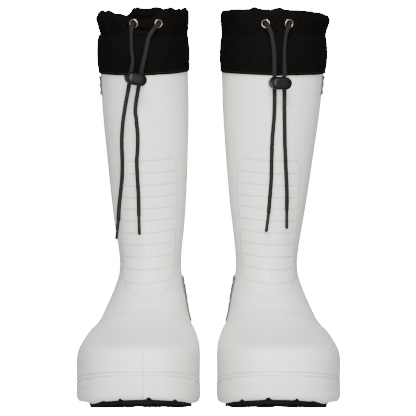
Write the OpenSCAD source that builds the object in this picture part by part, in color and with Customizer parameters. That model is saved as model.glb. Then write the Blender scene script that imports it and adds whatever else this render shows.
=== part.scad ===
// A pair of tall moulded-foam winter boots with a fabric snow collar, drawcord and cord lock.
// Each boot stands on Z = 0 with its toe towards -Y. The wearer's right boot is at -X.
// Lengths are millimetres.

/* [Pair] */
// Distance from the pair's middle plane to the right boot's leg axis
right_offset = 61; // [60:0.5:90]
// Distance from the pair's middle plane to the left boot's leg axis
left_offset = 62; // [60:0.5:90]
// Distance that the leg axis stands behind the middle of the pair
leg_y = 58.5; // [50:0.5:66]
// Extra half width of the right boot's soft shaft at its top
right_spread = -4; // [-5:0.5:5]
// Extra half width of the left boot's soft shaft at its top
left_spread = 4; // [-5:0.5:5]

/* [Shell] */
// Height of the foam shaft's top edge
shaft_top = 352; // [348:1:353]
// Wall thickness of the foam shaft
shaft_wall = 5.5; // [4.5:0.5:6.5]
// Wall thickness of the foam beside the foot
foot_wall = 9; // [7:0.5:10]
// Height of the footbed inside the shell
floor_z = 28; // [26:1:30]
// Height that the toe tip is lifted off the ground
toe_lift = 27; // [15:1:28]

/* [Sole] */
// Height of the foam's underside above the ground
foam_bottom = 7.5; // [6:0.5:8]
// Thickness of the rubber plate under the foam
tread_plate = 3; // [2:0.5:4]
// Distance from the foam's edge to the edge of the rubber
tread_inset = 12; // [9:1:15]
// Distance between two rows of lugs
lug_pitch = 17; // [16:1:20]

/* [Lining] */
// Thickness of the removable insole
insole_t = 5; // [3:0.5:6]
// Thickness of the removable warm liner
liner_t = 4; // [3:0.5:4.5]

/* [Collar] */
// Height of the fabric collar's lower hem
hem_z = 342.5; // [341:0.5:344]
// Height of the seam between the collar's band and its cuff
cuff_z = 382.5; // [381.5:0.5:383.5]
// Thickness of the doubled fabric
fabric_t = 1.2; // [1:0.1:1.6]

/* [Drawcord] */
// Diameter of the elastic cord
cord_d = 4.4; // [4:0.1:4.6]
// Diameter of the hard tips on the cord's ends
tip_d = 3.6; // [3:0.1:4]
// Distance that a cord lock's button can be pressed
press_travel = 3.6; // [2:0.1:3.6]

/* [Hidden] */
ring_n = 32;

// One row per height: height, heel, toe, half width, lean, splay, heel width, corner.
// Heel and toe are distances ahead of the leg axis. Lean shifts the whole section outwards,
// splay only its forefoot. Heel width is a share of the half width, and a section is a
// superellipse whose power is its corner.
SHELL_ROWS = [
    [foam_bottom, -85.5, 200, 61.8, 0, 9.3, 0.65, 2.5],
    [11, -87.5, 203.5, 63.6, 0, 9.8, 0.65, 2.5],
    [20, -88, 205, 63.8, 0, 9.8, 0.65, 2.5],
    [34, -88, 205, 63.8, 0, 9.8, 0.65, 2.5],
    [46, -87, 203, 63.8, 0, 9.8, 0.65, 2.5],
    [54, -86, 201, 63.4, 0, 9.6, 0.65, 2.5],
    [61, -85, 196.5, 62.2, 0, 9, 0.66, 2.5],
    [67, -84, 188.5, 60.5, 0, 8, 0.68, 2.45],
    [72, -83, 178, 58.6, 0.4, 7, 0.7, 2.4],
    [77, -82, 164.5, 56, 0.9, 5.9, 0.73, 2.35],
    [82, -80, 149, 52.4, 1.4, 4.4, 0.77, 2.3],
    [88, -78, 129, 48, 1.8, 2.9, 0.81, 2.2],
    [97, -75, 105, 44.1, 2.1, 1.5, 0.88, 2.1],
    [107, -71, 90, 40.5, 1.7, 0.3, 0.94, 2.05],
    [118, -67.5, 76, 36.8, 0.8, 0, 0.98, 2],
    [129, -64.5, 66.5, 33.8, 0.1, 0, 1, 2],
    [141, -62.5, 60, 32.8, 0, 0, 1, 2],
    [158, -62, 56.5, 34.1, 0.2, 0, 1, 2],
    [180, -62, 55, 37.1, 0.8, 0, 1, 2],
    [210, -63.5, 55, 40.6, 1.6, 0, 1, 2],
    [255, -67, 57, 44.7, 3, 0, 1, 2],
    [300, -71.5, 61, 48.3, 4.6, 0, 1, 2],
    [353, -76.5, 66, 50.6, 6.5, 0, 1, 2],
];
COLLAR_ROWS = [
    [341, -77.5, 66.9, 51.7, 6.2, 0, 1, 2],
    [353, -78.3, 67.6, 52.2, 6.6, 0, 1, 2],
    [364, -78.3, 67.6, 52.3, 6.9, 0, 1, 2],
    [372, -78, 67.2, 52.1, 7, 0, 1, 2],
    [378, -77, 66.2, 51.6, 7.1, 0, 1, 2],
    [382.5, -75.6, 64.6, 51, 7.1, 0, 1, 2],
    [389, -76.4, 65.2, 52, 7.6, 0, 1, 2],
    [398, -78, 66.2, 53.4, 8.4, 0, 1, 2],
    [406, -77.6, 65.8, 53.2, 8.4, 0, 1, 2],
    [411, -76, 64, 51.5, 8.2, 0, 1, 2],
];
HEIGHT = 0;
HEEL = 1;
TOE = 2;
HALF = 3;
LEAN = 4;
SPLAY = 5;
HEEL_WIDTH = 6;
CORNER = 7;

// Where the soft shaft starts to spread, and how much its depth follows its width.
spread_start = 179;
spread_depth = 0.4;
// The sole rolls up ahead of toe_roll and behind heel_roll.
toe_roll = 55;
toe_curl = 1.3;
heel_roll = -62;
heel_lift = 3;
spring_fade = [50, 110];
// Shares of a section's length between which it widens from the heel to the ball of the foot.
ball_from = 0.2;
ball_to = 0.66;

cord_r = cord_d / 2;
// Gaps between pieces that rest on each other, and between the foot's layers.
seat_gap = 0.3;
slip = 0.6;
cuff_inner = 8;
channel_depth = 4.1;

function ease(x) = let (t = min(1, max(0, x))) t * t * (3 - 2 * t);
function unit(a) = a / norm(a);

// Smooth curves through the rows of a table.
function row_index(rows, z, i = 0) =
    (i >= len(rows) - 2 || z < rows[i + 1][HEIGHT]) ? i : row_index(rows, z, i + 1);
function row_slope(rows, i) =
    let (a = rows[max(0, i - 1)], b = rows[min(len(rows) - 1, i + 1)]) (b - a) / (b[0] - a[0]);
function row_at(rows, z) =
    let (
        i = row_index(rows, z),
        a = rows[i],
        b = rows[i + 1],
        h = b[0] - a[0],
        t = (z - a[0]) / h,
        t2 = t * t,
        t3 = t2 * t
    )
    (2 * t3 - 3 * t2 + 1) * a + (t3 - 2 * t2 + t) * h * row_slope(rows, i)
    + (3 * t2 - 2 * t3) * b + (t3 - t2) * h * row_slope(rows, i + 1);

// How far the sole is off the ground at a distance ahead of the leg axis.
function sole_spring(ahead) =
    toe_lift * pow(max(0, ahead - toe_roll) / (205 - toe_roll), toe_curl)
    + heel_lift * pow(max(0, heel_roll - ahead) / (heel_roll + 88), 2);

// The share of its half width that a section has at a share of its length.
function fullness(row, share) =
    let (p = row[CORNER])
    pow(max(0, 1 - pow(abs(2 * share - 1), p)), 1 / p)
    * (row[HEEL_WIDTH] + (1 - row[HEEL_WIDTH]) * ease((share - ball_from) / (ball_to - ball_from)));

// A point of the outer skin. turn is 0 at the heel, 90 at the outer side and 180 at the toe.
function skin_point(rows, z, turn, spread) =
    let (
        row = row_at(rows, z),
        share = (1 - cos(turn)) / 2,
        side = sin(turn) >= 0 ? 1 : -1,
        grow = spread * min(1, max(0, (z - spread_start) / (shaft_top - spread_start))),
        g = fullness(row, share),
        out = row[LEAN] + side * g * (row[HALF] + grow) + g * row[SPLAY] * ease(share / ball_to),
        back = row[HEEL] + spread_depth * grow,
        front = row[TOE] - spread_depth * grow,
        ahead = back + (front - back) * share,
        fade = 1 - ease((z - spring_fade[0]) / (spring_fade[1] - spring_fade[0]))
    )
    [out, -ahead, z + sole_spring(ahead) * fade];

function skin_normal(rows, z, turn, spread) =
    let (
        rise = skin_point(rows, z + 2, turn, spread) - skin_point(rows, z - 2, turn, spread),
        along = skin_point(rows, z, turn + 3, spread) - skin_point(rows, z, turn - 3, spread)
    )
    unit(cross(rise, along));

// The skin moved in by a depth.
function inset_point(rows, z, turn, spread, depth) =
    skin_point(rows, z, turn, spread) - depth * skin_normal(rows, z, turn, spread);
function inset_ring(rows, z, spread, depth) =
    [for (i = [0:ring_n - 1]) inset_point(rows, z, 360 * i / ring_n, spread, depth)];

// Wall thickness of the foam at a height.
function wall_at(z) = foot_wall + (shaft_wall - foot_wall) * ease((z - 34) / 50);

function joined(lists) = [for (list = lists) for (item = list) item];
function column(rows) = [for (row = rows) row[HEIGHT]];

// Faces between two rings, seen from outside when "outward" is true.
function band_faces(low, high, n, outward = true) =
    joined([for (i = [0:n - 1])
        let (j = (i + 1) % n)
        outward
            ? [[low + j, high + j, high + i], [low + j, high + i, low + i]]
            : [[high + i, high + j, low + j], [low + i, high + i, low + j]]]);

// A cap of strips across a ring, from its outer side to its inner side.
function cap_faces(first, n, up) =
    joined([for (i = [0:n / 2 - 1])
        let (
            a = first + i,
            b = first + i + 1,
            c = first + n - i - 1,
            d = first + (n - i) % n,
            near = i == 0 ? [] : [[a, c, d]],
            far = i == n / 2 - 1 ? [] : [[a, b, c]],
            tip = i == 0 ? [[a, b, c]] : (i == n / 2 - 1 ? [[a, b, d]] : []),
            faces = i == 0 ? tip : (i == n / 2 - 1 ? tip : concat(far, near))
        )
        up ? faces : [for (f = faces) [f[2], f[1], f[0]]]]);

// A closed cup between outer rings and inner rings, both listed from the bottom up.
module cup(outer, inner) {
    n = len(outer[0]);
    first_in = n * len(outer);
    polyhedron(
        points = joined(concat(outer, inner)),
        faces = concat(
            joined([for (k = [0:len(outer) - 2]) band_faces(n * k, n * (k + 1), n)]),
            joined([for (k = [0:len(inner) - 2])
                band_faces(first_in + n * k, first_in + n * (k + 1), n, false)]),
            band_faces(n * (len(outer) - 1), first_in + n * (len(inner) - 1), n),
            cap_faces(0, n, false),
            cap_faces(first_in, n, true)
        )
    );
}

// A closed slab between a lower and an upper ring.
module slab(lower, upper) {
    n = len(lower);
    polyhedron(
        points = concat(lower, upper),
        faces = concat(band_faces(0, n, n), cap_faces(0, n, false), cap_faces(n, n, true))
    );
}

// A closed hoop whose section is a list of [height, depth] pairs.
module hoop(rows, section, spread) {
    n = ring_n;
    m = len(section);
    polyhedron(
        points = joined([for (p = section) inset_ring(rows, p[0], spread, p[1])]),
        faces = joined([for (k = [0:m - 1]) band_faces(n * k, n * ((k + 1) % m), n)])
    );
}

// A closed pad that follows the skin between two heights and two turns.
module pad(rows, z0, z1, turn0, turn1, spread, sunk, proud) {
    columns = 6; // pieces along the pad
    function grid(depth) =
        joined([for (z = [z0, (z0 + z1) / 2, z1])
            [for (i = [0:columns]) inset_point(rows, z, turn0 + (turn1 - turn0) * i / columns,
                                               spread, depth)]]);
    w = columns + 1;
    size = 3 * w;
    function quad(a, b, c, d) = [[a, b, c], [a, c, d]];
    polyhedron(
        points = concat(grid(sunk), grid(-proud)),
        faces = concat(
            joined([for (r = [0, 1]) for (i = [0:columns - 1])
                quad(size + r * w + i, size + r * w + i + 1,
                     size + (r + 1) * w + i + 1, size + (r + 1) * w + i)]),
            joined([for (r = [0, 1]) for (i = [0:columns - 1])
                quad((r + 1) * w + i, (r + 1) * w + i + 1, r * w + i + 1, r * w + i)]),
            joined([for (i = [0:columns - 1])
                quad(i, i + 1, size + i + 1, size + i)]),
            joined([for (i = [0:columns - 1])
                quad(size + 2 * w + i, size + 2 * w + i + 1, 2 * w + i + 1, 2 * w + i)]),
            joined([for (r = [0, 1])
                quad(r * w, size + r * w, size + (r + 1) * w, (r + 1) * w)]),
            joined([for (r = [0, 1])
                quad((r + 1) * w + columns, size + (r + 1) * w + columns,
                     size + r * w + columns, r * w + columns)])
        )
    );
}

// Puts a boot's own frame in the pair's frame. The right boot is the left one mirrored.
module place(right) {
    mirror([right ? 1 : 0, 0, 0])
        translate([right ? right_offset : left_offset, leg_y, 0]) children();
}

// Turns +Z to a direction.
module aim(direction) {
    d = unit(direction);
    rotate([0, acos(d[2]), atan2(d[1], d[0])]) children();
}

module shell(spread) {
    heights = [for (z = column(SHELL_ROWS)) min(z, shaft_top)];
    inner_heights = concat([floor_z], [for (z = heights) if (z > floor_z + 4) z]);
    color("gainsboro")
        cup(
            [for (z = heights) inset_ring(SHELL_ROWS, z, spread, 0)],
            [for (z = inner_heights) inset_ring(SHELL_ROWS, z, spread, wall_at(z))]
        );
}

module liner(spread) {
    bottom = floor_z + insole_t + slip;
    top = shaft_top - 2;
    heights = concat([bottom], [for (z = column(SHELL_ROWS)) if (z > bottom + 6) min(z, top)]);
    inner_heights = concat([bottom + liner_t], [for (z = heights) if (z > bottom + liner_t + 4) z]);
    color("lightslategray")
        cup(
            [for (z = heights) inset_ring(SHELL_ROWS, z, spread, wall_at(z) + slip)],
            [for (z = inner_heights) inset_ring(SHELL_ROWS, z, spread, wall_at(z) + slip + liner_t)]
        );
}

module insole() {
    depth = foot_wall + slip;
    color("dimgray")
        slab(
            inset_ring(SHELL_ROWS, floor_z + seat_gap, 0, depth),
            inset_ring(SHELL_ROWS, floor_z + insole_t, 0, depth + 0.4)
        );
}

// The rubber plate's outline at a height, drawn in from the foam's edge.
function tread_ring(z) =
    [for (i = [0:ring_n - 1])
        let (
            turn = 360 * i / ring_n,
            edge = skin_point(SHELL_ROWS, 20, turn, 0),
            n = skin_normal(SHELL_ROWS, 20, turn, 0),
            flat = unit([n[0], n[1], 0]),
            x = edge[0] - tread_inset * flat[0],
            y = edge[1] - tread_inset * flat[1]
        )
        [x, y, z + sole_spring(-y)]];
// Half width and middle of the rubber plate at a distance ahead of the leg axis.
function tread_span(ahead) =
    let (
        row = row_at(SHELL_ROWS, 20),
        share = (ahead - row[HEEL]) / (row[TOE] - row[HEEL]),
        g = fullness(row, share),
        middle = g * row[SPLAY] * ease(share / ball_to)
    )
    [g * row[HALF] - tread_inset, middle];
function sole_slope(ahead) = atan((sole_spring(ahead + 4) - sole_spring(ahead - 4)) / 8);

// One lug under the plate, with its foot on the sole line. A tilted lug is lifted until
// its lower edge clears the ground.
module lug(x, ahead, width, length, twist) {
    foot = foam_bottom - tread_plate / 2;
    slope = sole_slope(ahead);
    translate([x, -ahead, max(sole_spring(ahead), (length / 2 + 2) * abs(sin(slope)))])
        rotate([-slope, 0, 0])
            rotate([0, 0, twist])
                translate([-width / 2, -length / 2, 0]) cube([width, length, foot]);
}

// Rows of four lugs under the forefoot and the heel, with a bare arch between them.
module lug_rows() {
    for (ahead = concat([for (k = [0:3]) -66 + k * lug_pitch], [for (k = [0:8]) 44 + k * lug_pitch])) {
        span = tread_span(ahead);
        half = span[0];
        length = lug_pitch * 0.62;
        for (side = [-1, 1]) {
            lug(span[1] + side * (half - 9), ahead, 15, length, side * 12);
            if (half > 30) lug(span[1] + side * half * 0.27, ahead + 3, half * 0.36, length, -side * 16);
        }
    }
    lug(tread_span(188)[1], 183.5, 22, 9, 0);
}

module outsole() {
    color("black") union() {
        slab(tread_ring(foam_bottom - tread_plate), tread_ring(foam_bottom - seat_gap));
        lug_rows();
    }
}

module collar_band(spread) {
    color("black")
        hoop(COLLAR_ROWS, concat(
            [for (z = [hem_z, 353, 364, 372, 378, cuff_z - 0.2]) [z, 0]],
            [for (z = [cuff_z - 0.2, 372, 364, 353, hem_z]) [z, fabric_t]]
        ), spread);
}

// An eyelet's place on the cuff: its turn round the collar on each boot.
eyelet_z = 394.4;
RIGHT_EYELETS = [172.8, 202.5];
LEFT_EYELETS = [167.7, 191.7];
eyelet_r = 4.9;
eyelet_hole_r = 2.9;
module at_eyelet(turn, spread) {
    translate(skin_point(COLLAR_ROWS, eyelet_z, turn, spread))
        aim(skin_normal(COLLAR_ROWS, eyelet_z, turn, spread)) children();
}

// The tunnel that the drawcord runs in, folded over at the collar's mouth.
module collar_cuff(spread, turns) {
    color("black") difference() {
        hoop(COLLAR_ROWS, [
            [cuff_z, 0], [389, 0], [398, 0], [405.5, 0.5], [408.5, 2.6], [408.5, 5.4],
            [405, cuff_inner], [396, cuff_inner], [386, 5.6], [cuff_z - 6, 3.4],
            [cuff_z - 6, 2.2], [386, 4.4], [396, cuff_inner - 1.2], [404, cuff_inner - 1.4],
            [407, 4.2], [404, 1.7], [396, 1.2], [cuff_z, 1.2]
        ], spread);
        for (turn = turns) at_eyelet(turn, spread)
            translate([0, 0, -2.4]) cylinder(r = eyelet_hole_r + 0.5, h = 5, $fn = 48);
    }
}

module eyelets(spread, turns) {
    color("silver") for (turn = turns) at_eyelet(turn, spread)
        rotate_extrude($fn = 48) polygon([
            [eyelet_hole_r, -2.75], [eyelet_hole_r + 0.45, -2.75], [eyelet_hole_r + 0.45, 0.05],
            [eyelet_r, 0.05], [eyelet_r - 0.3, 0.8], [eyelet_r - 1, 1.15], [eyelet_hole_r + 0.5, 1],
            [eyelet_hole_r, 0.5]
        ]);
}

module eyelet_washers(spread, turns) {
    color("silver") for (turn = turns) at_eyelet(turn, spread)
        translate([0, 0, -2.7]) difference() {
            cylinder(r = eyelet_r - 0.2, h = 0.5, $fn = 48);
            translate([0, 0, -1]) cylinder(r = eyelet_hole_r + 0.5, h = 3, $fn = 48);
        }
}

// A raised plate on the outer side, just under the collar.
module side_badge(spread) {
    color("darkgray") pad(SHELL_ROWS, 319.5, hem_z - 2.5, 79, 108, spread, -seat_gap, 2.6);
}

// Raised blocks on the inner side of the ankle.
grip_z = 86;
grip_pitch = 8.5;
grip_h = 7.6;
grip_proud = 1.8;
module ankle_grip() {
    color("gray") for (k = [0:4])
        let (low = grip_z + k * grip_pitch)
            pad(SHELL_ROWS, low, low + grip_h, 256, 283, 0, -seat_gap, grip_proud);
}

// A round tube along a path. The reference keeps its rings from turning.
module sweep(path, radius, sides, reference) {
    count = len(path);
    function heading(i) = unit(path[min(count - 1, i + 1)] - path[max(0, i - 1)]);
    rings = [for (i = [0:count - 1])
        let (d = heading(i), a = unit(reference - (reference * d) * d), b = cross(d, a))
        [for (k = [0:sides - 1])
            path[i] + radius * (cos(360 * k / sides) * a + sin(360 * k / sides) * b)]];
    polyhedron(
        points = joined(rings),
        faces = concat(
            joined([for (i = [0:count - 2]) band_faces(sides * i, sides * (i + 1), sides, false)]),
            [[for (k = [0:sides - 1]) k]],
            [[for (k = [sides - 1:-1:0]) sides * (count - 1) + k]]
        )
    );
}

// A smooth curve through route points, with a number of steps between each two.
function curve_point(p0, p1, p2, p3, t) =
    0.5 * ((2 * p1) + (p2 - p0) * t + (2 * p0 - 5 * p1 + 4 * p2 - p3) * t * t
    + (3 * p1 - p0 - 3 * p2 + p3) * t * t * t);
function smooth_route(route, steps) =
    let (last = len(route) - 1)
    concat(
        [for (i = [0:last - 1]) for (k = [0:steps - 1])
            curve_point(route[max(0, i - 1)], route[i], route[i + 1], route[min(last, i + 2)], k / steps)],
        [route[last]]
    );

// The drawcord inside the cuff, from one eyelet round the back to the other.
module drawcord_run(spread, turns) {
    first = turns[0] - 7;
    last = turns[1] + 7;
    steps = 26;
    path = [for (k = [0:steps])
        let (turn = first - k * (first + 360 - last) / steps)
        inset_point(COLLAR_ROWS, 398 - 2 * pow(abs(2 * k / steps - 1), 6), turn, spread, channel_depth)];
    color("dimgray") sweep(path, cord_r, 8, [0, 0, 1]);
}

// Routes of the cord's free tails in the pair's frame, from the eyelet down to the tip.
RIGHT_OUTER_ROUTE = [
    [-74.7, -5.2, 394.4], [-75.4, -8.6, 394.4], [-76.8, -13, 392.8], [-77.3, -16, 387.6],
    [-77.5, -17.4, 379], [-77.2, -19.2, 367], [-76.3, -21, 353], [-83.5, -21, 312],
    [-86, -20.8, 295], [-87.3, -20.2, 277], [-86.9, -19.5, 253], [-87.3, -19, 238],
    [-88.7, -18.4, 225], [-90.7, -17.8, 206], [-91.3, -17.4, 194.3]
];
RIGHT_INNER_ROUTE = [
    [-51.4, -1.4, 394.4], [-50.3, -4.6, 394.4], [-50.8, -9, 393.4], [-53.6, -12.6, 390.4],
    [-57.2, -14.4, 385.6], [-60, -15.4, 379.6], [-62, -16.2, 371], [-64, -17.5, 361],
    [-66, -18.8, 353], [-73.2, -18.8, 312], [-72.6, -18.7, 298], [-71.3, -18.4, 283],
    [-71.4, -18.1, 269], [-72.3, -18, 255], [-71.7, -17.8, 238], [-70.7, -17.6, 219],
    [-70.4, -17.3, 199.3]
];
LEFT_INNER_ROUTE = [
    [59.6, -2, 394.4], [59, -5.4, 394.4], [59.8, -9.6, 393], [62.4, -12.2, 388.6],
    [64.4, -13.2, 382.4], [65.8, -13.8, 374], [67, -14.4, 363], [67.3, -15.1, 350],
    [67.3, -15.1, 307], [66.4, -15.1, 292], [65.2, -15, 276], [64.7, -14.8, 256],
    [64.4, -14.5, 238], [63.2, -14.2, 220], [61.8, -13.9, 201.7]
];
LEFT_OUTER_ROUTE = [
    [81.8, -0.4, 394.4], [82.7, -3.8, 394.4], [82.6, -8.2, 393.2], [80.6, -11, 388.6],
    [78.8, -11.8, 382.4], [77.8, -12.1, 374], [77.3, -12.4, 363], [77.5, -12.9, 350],
    [77.5, -12.9, 307], [77.8, -12.9, 292], [78.1, -12.9, 276], [78.9, -12.8, 256],
    [79.9, -12.6, 236], [80.5, -12.4, 220], [80.4, -12.2, 204.5]
];
// The far ends of the hard tips.
RIGHT_OUTER_TIP = [-93.8, -16.6, 175];
RIGHT_INNER_TIP = [-69.9, -16.8, 179.6];
LEFT_OUTER_TIP = [80.4, -11.8, 185.3];
LEFT_INNER_TIP = [59.3, -13.4, 182];

// A cord hangs straight through its lock, so those two points keep straight neighbours.
module cord_tail(route) {
    color("dimgray") sweep(smooth_route(route, 2), cord_r, 10, [1, 0, 0]);
}

// A hard tip from the end of a cord's route to a rounded far end.
module cord_tip(route, end) {
    start = route[len(route) - 1];
    color("black") translate(start + seat_gap * unit(end - start)) aim(end - start) {
        length = norm(end - start) - seat_gap;
        cylinder(r = tip_d / 2, h = length - tip_d / 2, $fn = 32);
        translate([0, 0, length - tip_d / 2]) sphere(r = tip_d / 2, $fn = 32);
    }
}

// Cord lock. Its own frame has the cord along Z, the button towards -Y, and its back face
// lock_back behind the cord.
lock_w = 21;
lock_h = 12.4;
lock_back = 8.8;
lock_floor = 1.4;
barrel_depth = 12.8;
cord_spacing = 10.4;
bore_r = 2.65;
stem_w = 17.2;
stem_h = 8.6;
stem_gap = 0.2;
head_depth = 4;
RIGHT_LOCK = [-73.6, -19.9, 339];
LEFT_LOCK = [72.4, -14, 334.4];
lock_turn = 12;
RIGHT_LOCK_ROLL = 10;
LEFT_LOCK_ROLL = 0;

module stadium(w, h) {
    union() {
        square([w - h, h], center = true);
        for (side = [-1, 1]) translate([side * (w - h) / 2, 0]) circle(r = h / 2, $fn = 64);
    }
}

// A stadium prism along the lock's depth, from one distance ahead of its back face to another.
module lock_prism(w, h, from, to) {
    translate([0, lock_back - from, 0]) rotate([90, 0, 0]) linear_extrude(height = to - from) stadium(w, h);
}

module in_lock(place, roll) {
    translate(place) rotate([0, roll, 0]) rotate([0, 0, lock_turn]) children();
}

module lock_barrel() {
    color("black") difference() {
        union() {
            lock_prism(lock_w, lock_h, 0.8, barrel_depth);
            lock_prism(lock_w - 1.6, lock_h - 1.6, 0, 1);
        }
        lock_prism(stem_w + 2 * stem_gap, stem_h + 2 * stem_gap, lock_floor, barrel_depth + 1);
        for (side = [-1, 1]) translate([side * cord_spacing / 2, 0, -lock_h])
            cylinder(r = bore_r, h = 2 * lock_h, $fn = 48);
    }
}

// The button's stem has a slot for each cord and a pocket for the spring.
module lock_button() {
    bar_back = lock_floor + 0.2 + press_travel;
    bar_front = bar_back + 1.2;
    slot_front = lock_back + cord_r + press_travel + 0.2;
    head_back = barrel_depth + 0.2 + press_travel;
    color("black") difference() {
        union() {
            lock_prism(stem_w, stem_h, bar_back, head_back + 1);
            lock_prism(lock_w, lock_h, head_back, head_back + head_depth - 1.4);
            lock_prism(lock_w - 1.4, lock_h - 1.4, head_back + 1, head_back + head_depth - 0.6);
            lock_prism(lock_w - 3.4, lock_h - 3.4, head_back + 1, head_back + head_depth);
        }
        for (side = [-1, 1])
            translate([side * cord_spacing / 2 - bore_r, lock_back - slot_front, -lock_h])
                cube([2 * bore_r, slot_front - bar_front, 2 * lock_h]);
        translate([0, lock_back - bar_back + 1, 0]) rotate([90, 0, 0])
            cylinder(r = 1.9, h = slot_front - bar_back - 0.6, $fn = 32);
    }
}

// A coil spring between the barrel's floor and the bottom of the button's pocket.
module lock_spring() {
    wire = 0.5;
    coil_r = 1.4;
    turns = 6;
    sides_a_turn = 9;
    bar_back = lock_floor + 0.2 + press_travel;
    slot_front = lock_back + cord_r + press_travel + 0.2;
    start = lock_back - lock_floor - wire / 2 - 0.05;
    length = slot_front - lock_floor - 1.6 - wire - 0.3;
    steps = turns * sides_a_turn;
    path = [for (k = [0:steps])
        let (angle = 360 * k / sides_a_turn)
        [coil_r * cos(angle), start - length * k / steps, coil_r * sin(angle)]];
    color("silver") sweep(path, wire / 2, 6, [0, 1, 0]);
}

place(true) shell(right_spread);  // right_shell
place(true) outsole();  // right_outsole
place(true) insole();  // right_insole
place(true) liner(right_spread);  // right_liner
place(true) collar_band(right_spread);  // right_collar_band
place(true) collar_cuff(right_spread, RIGHT_EYELETS);  // right_collar_cuff
place(true) eyelets(right_spread, RIGHT_EYELETS);  // right_eyelets
place(true) eyelet_washers(right_spread, RIGHT_EYELETS);  // right_eyelet_washers
place(true) side_badge(right_spread);  // right_side_badge
place(true) ankle_grip();  // right_ankle_grip
place(true) drawcord_run(right_spread, RIGHT_EYELETS);  // right_drawcord_run
cord_tail(RIGHT_OUTER_ROUTE);  // right_cord_tail_outer
cord_tail(RIGHT_INNER_ROUTE);  // right_cord_tail_inner
cord_tip(RIGHT_OUTER_ROUTE, RIGHT_OUTER_TIP);  // right_cord_tip_outer
cord_tip(RIGHT_INNER_ROUTE, RIGHT_INNER_TIP);  // right_cord_tip_inner
in_lock(RIGHT_LOCK, RIGHT_LOCK_ROLL) lock_barrel();  // right_lock_barrel
in_lock(RIGHT_LOCK, RIGHT_LOCK_ROLL) lock_button();  // right_lock_button
in_lock(RIGHT_LOCK, RIGHT_LOCK_ROLL) lock_spring();  // right_lock_spring

place(false) shell(left_spread);  // left_shell
place(false) outsole();  // left_outsole
place(false) insole();  // left_insole
place(false) liner(left_spread);  // left_liner
place(false) collar_band(left_spread);  // left_collar_band
place(false) collar_cuff(left_spread, LEFT_EYELETS);  // left_collar_cuff
place(false) eyelets(left_spread, LEFT_EYELETS);  // left_eyelets
place(false) eyelet_washers(left_spread, LEFT_EYELETS);  // left_eyelet_washers
place(false) side_badge(left_spread);  // left_side_badge
place(false) ankle_grip();  // left_ankle_grip
place(false) drawcord_run(left_spread, LEFT_EYELETS);  // left_drawcord_run
cord_tail(LEFT_OUTER_ROUTE);  // left_cord_tail_outer
cord_tail(LEFT_INNER_ROUTE);  // left_cord_tail_inner
cord_tip(LEFT_OUTER_ROUTE, LEFT_OUTER_TIP);  // left_cord_tip_outer
cord_tip(LEFT_INNER_ROUTE, LEFT_INNER_TIP);  // left_cord_tip_inner
in_lock(LEFT_LOCK, LEFT_LOCK_ROLL) lock_barrel();  // left_lock_barrel
in_lock(LEFT_LOCK, LEFT_LOCK_ROLL) lock_button();  // left_lock_button
in_lock(LEFT_LOCK, LEFT_LOCK_ROLL) lock_spring();  // left_lock_spring
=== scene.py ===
"""A pair of moulded foam winter boots with fabric collars, drawcords and cord locks.

Lengths of the boots' own shapes are in millimetres in a boot's own frame, as in the CAD source:
out is towards the boot's outer side, ahead is towards its toe, and z is up. place() turns them
into metres in the pair's frame.
"""
import math

import bmesh
import bpy
import numpy as np
from mathutils import Matrix, Vector


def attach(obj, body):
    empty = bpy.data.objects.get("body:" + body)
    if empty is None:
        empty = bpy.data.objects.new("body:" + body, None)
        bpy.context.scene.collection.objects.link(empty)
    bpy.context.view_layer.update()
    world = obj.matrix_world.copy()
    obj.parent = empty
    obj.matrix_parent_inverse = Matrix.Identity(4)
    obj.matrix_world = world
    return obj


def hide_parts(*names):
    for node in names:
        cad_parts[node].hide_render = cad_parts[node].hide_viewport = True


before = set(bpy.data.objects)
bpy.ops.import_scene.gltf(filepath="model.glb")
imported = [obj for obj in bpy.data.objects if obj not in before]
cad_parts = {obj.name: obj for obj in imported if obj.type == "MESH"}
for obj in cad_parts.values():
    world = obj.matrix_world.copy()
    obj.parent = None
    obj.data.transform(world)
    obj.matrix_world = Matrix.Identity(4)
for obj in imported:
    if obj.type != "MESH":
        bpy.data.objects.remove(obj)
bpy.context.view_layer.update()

MM = 0.001

# ---- driving dimensions

LEG_Y = 58.5
SHAFT_TOP = 352
SHAFT_WALL = 5.5
SHAFT_R = 45
FOOT_WALL = 9
FLOOR_Z = 28
TOE_LIFT = 27
TOE_ROLL = 55
FOAM_BOTTOM = 7.5
TREAD_PLATE = 3
TREAD_INSET = 12
LUG_PITCH = 17
INSOLE_T = 5
LINER_T = 4
HEM_Z = 342.5
CUFF_Z = 382.5
FABRIC_T = 1.2
COLLAR_R = 58
STITCH_R = 0.2
CORD_R = 2.2
TIP_R = 1.8
EYELET_Z = 394.4
EYELET_R = 4.9
EYELET_HOLE_R = 2.9
SPREAD_START = 179

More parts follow.
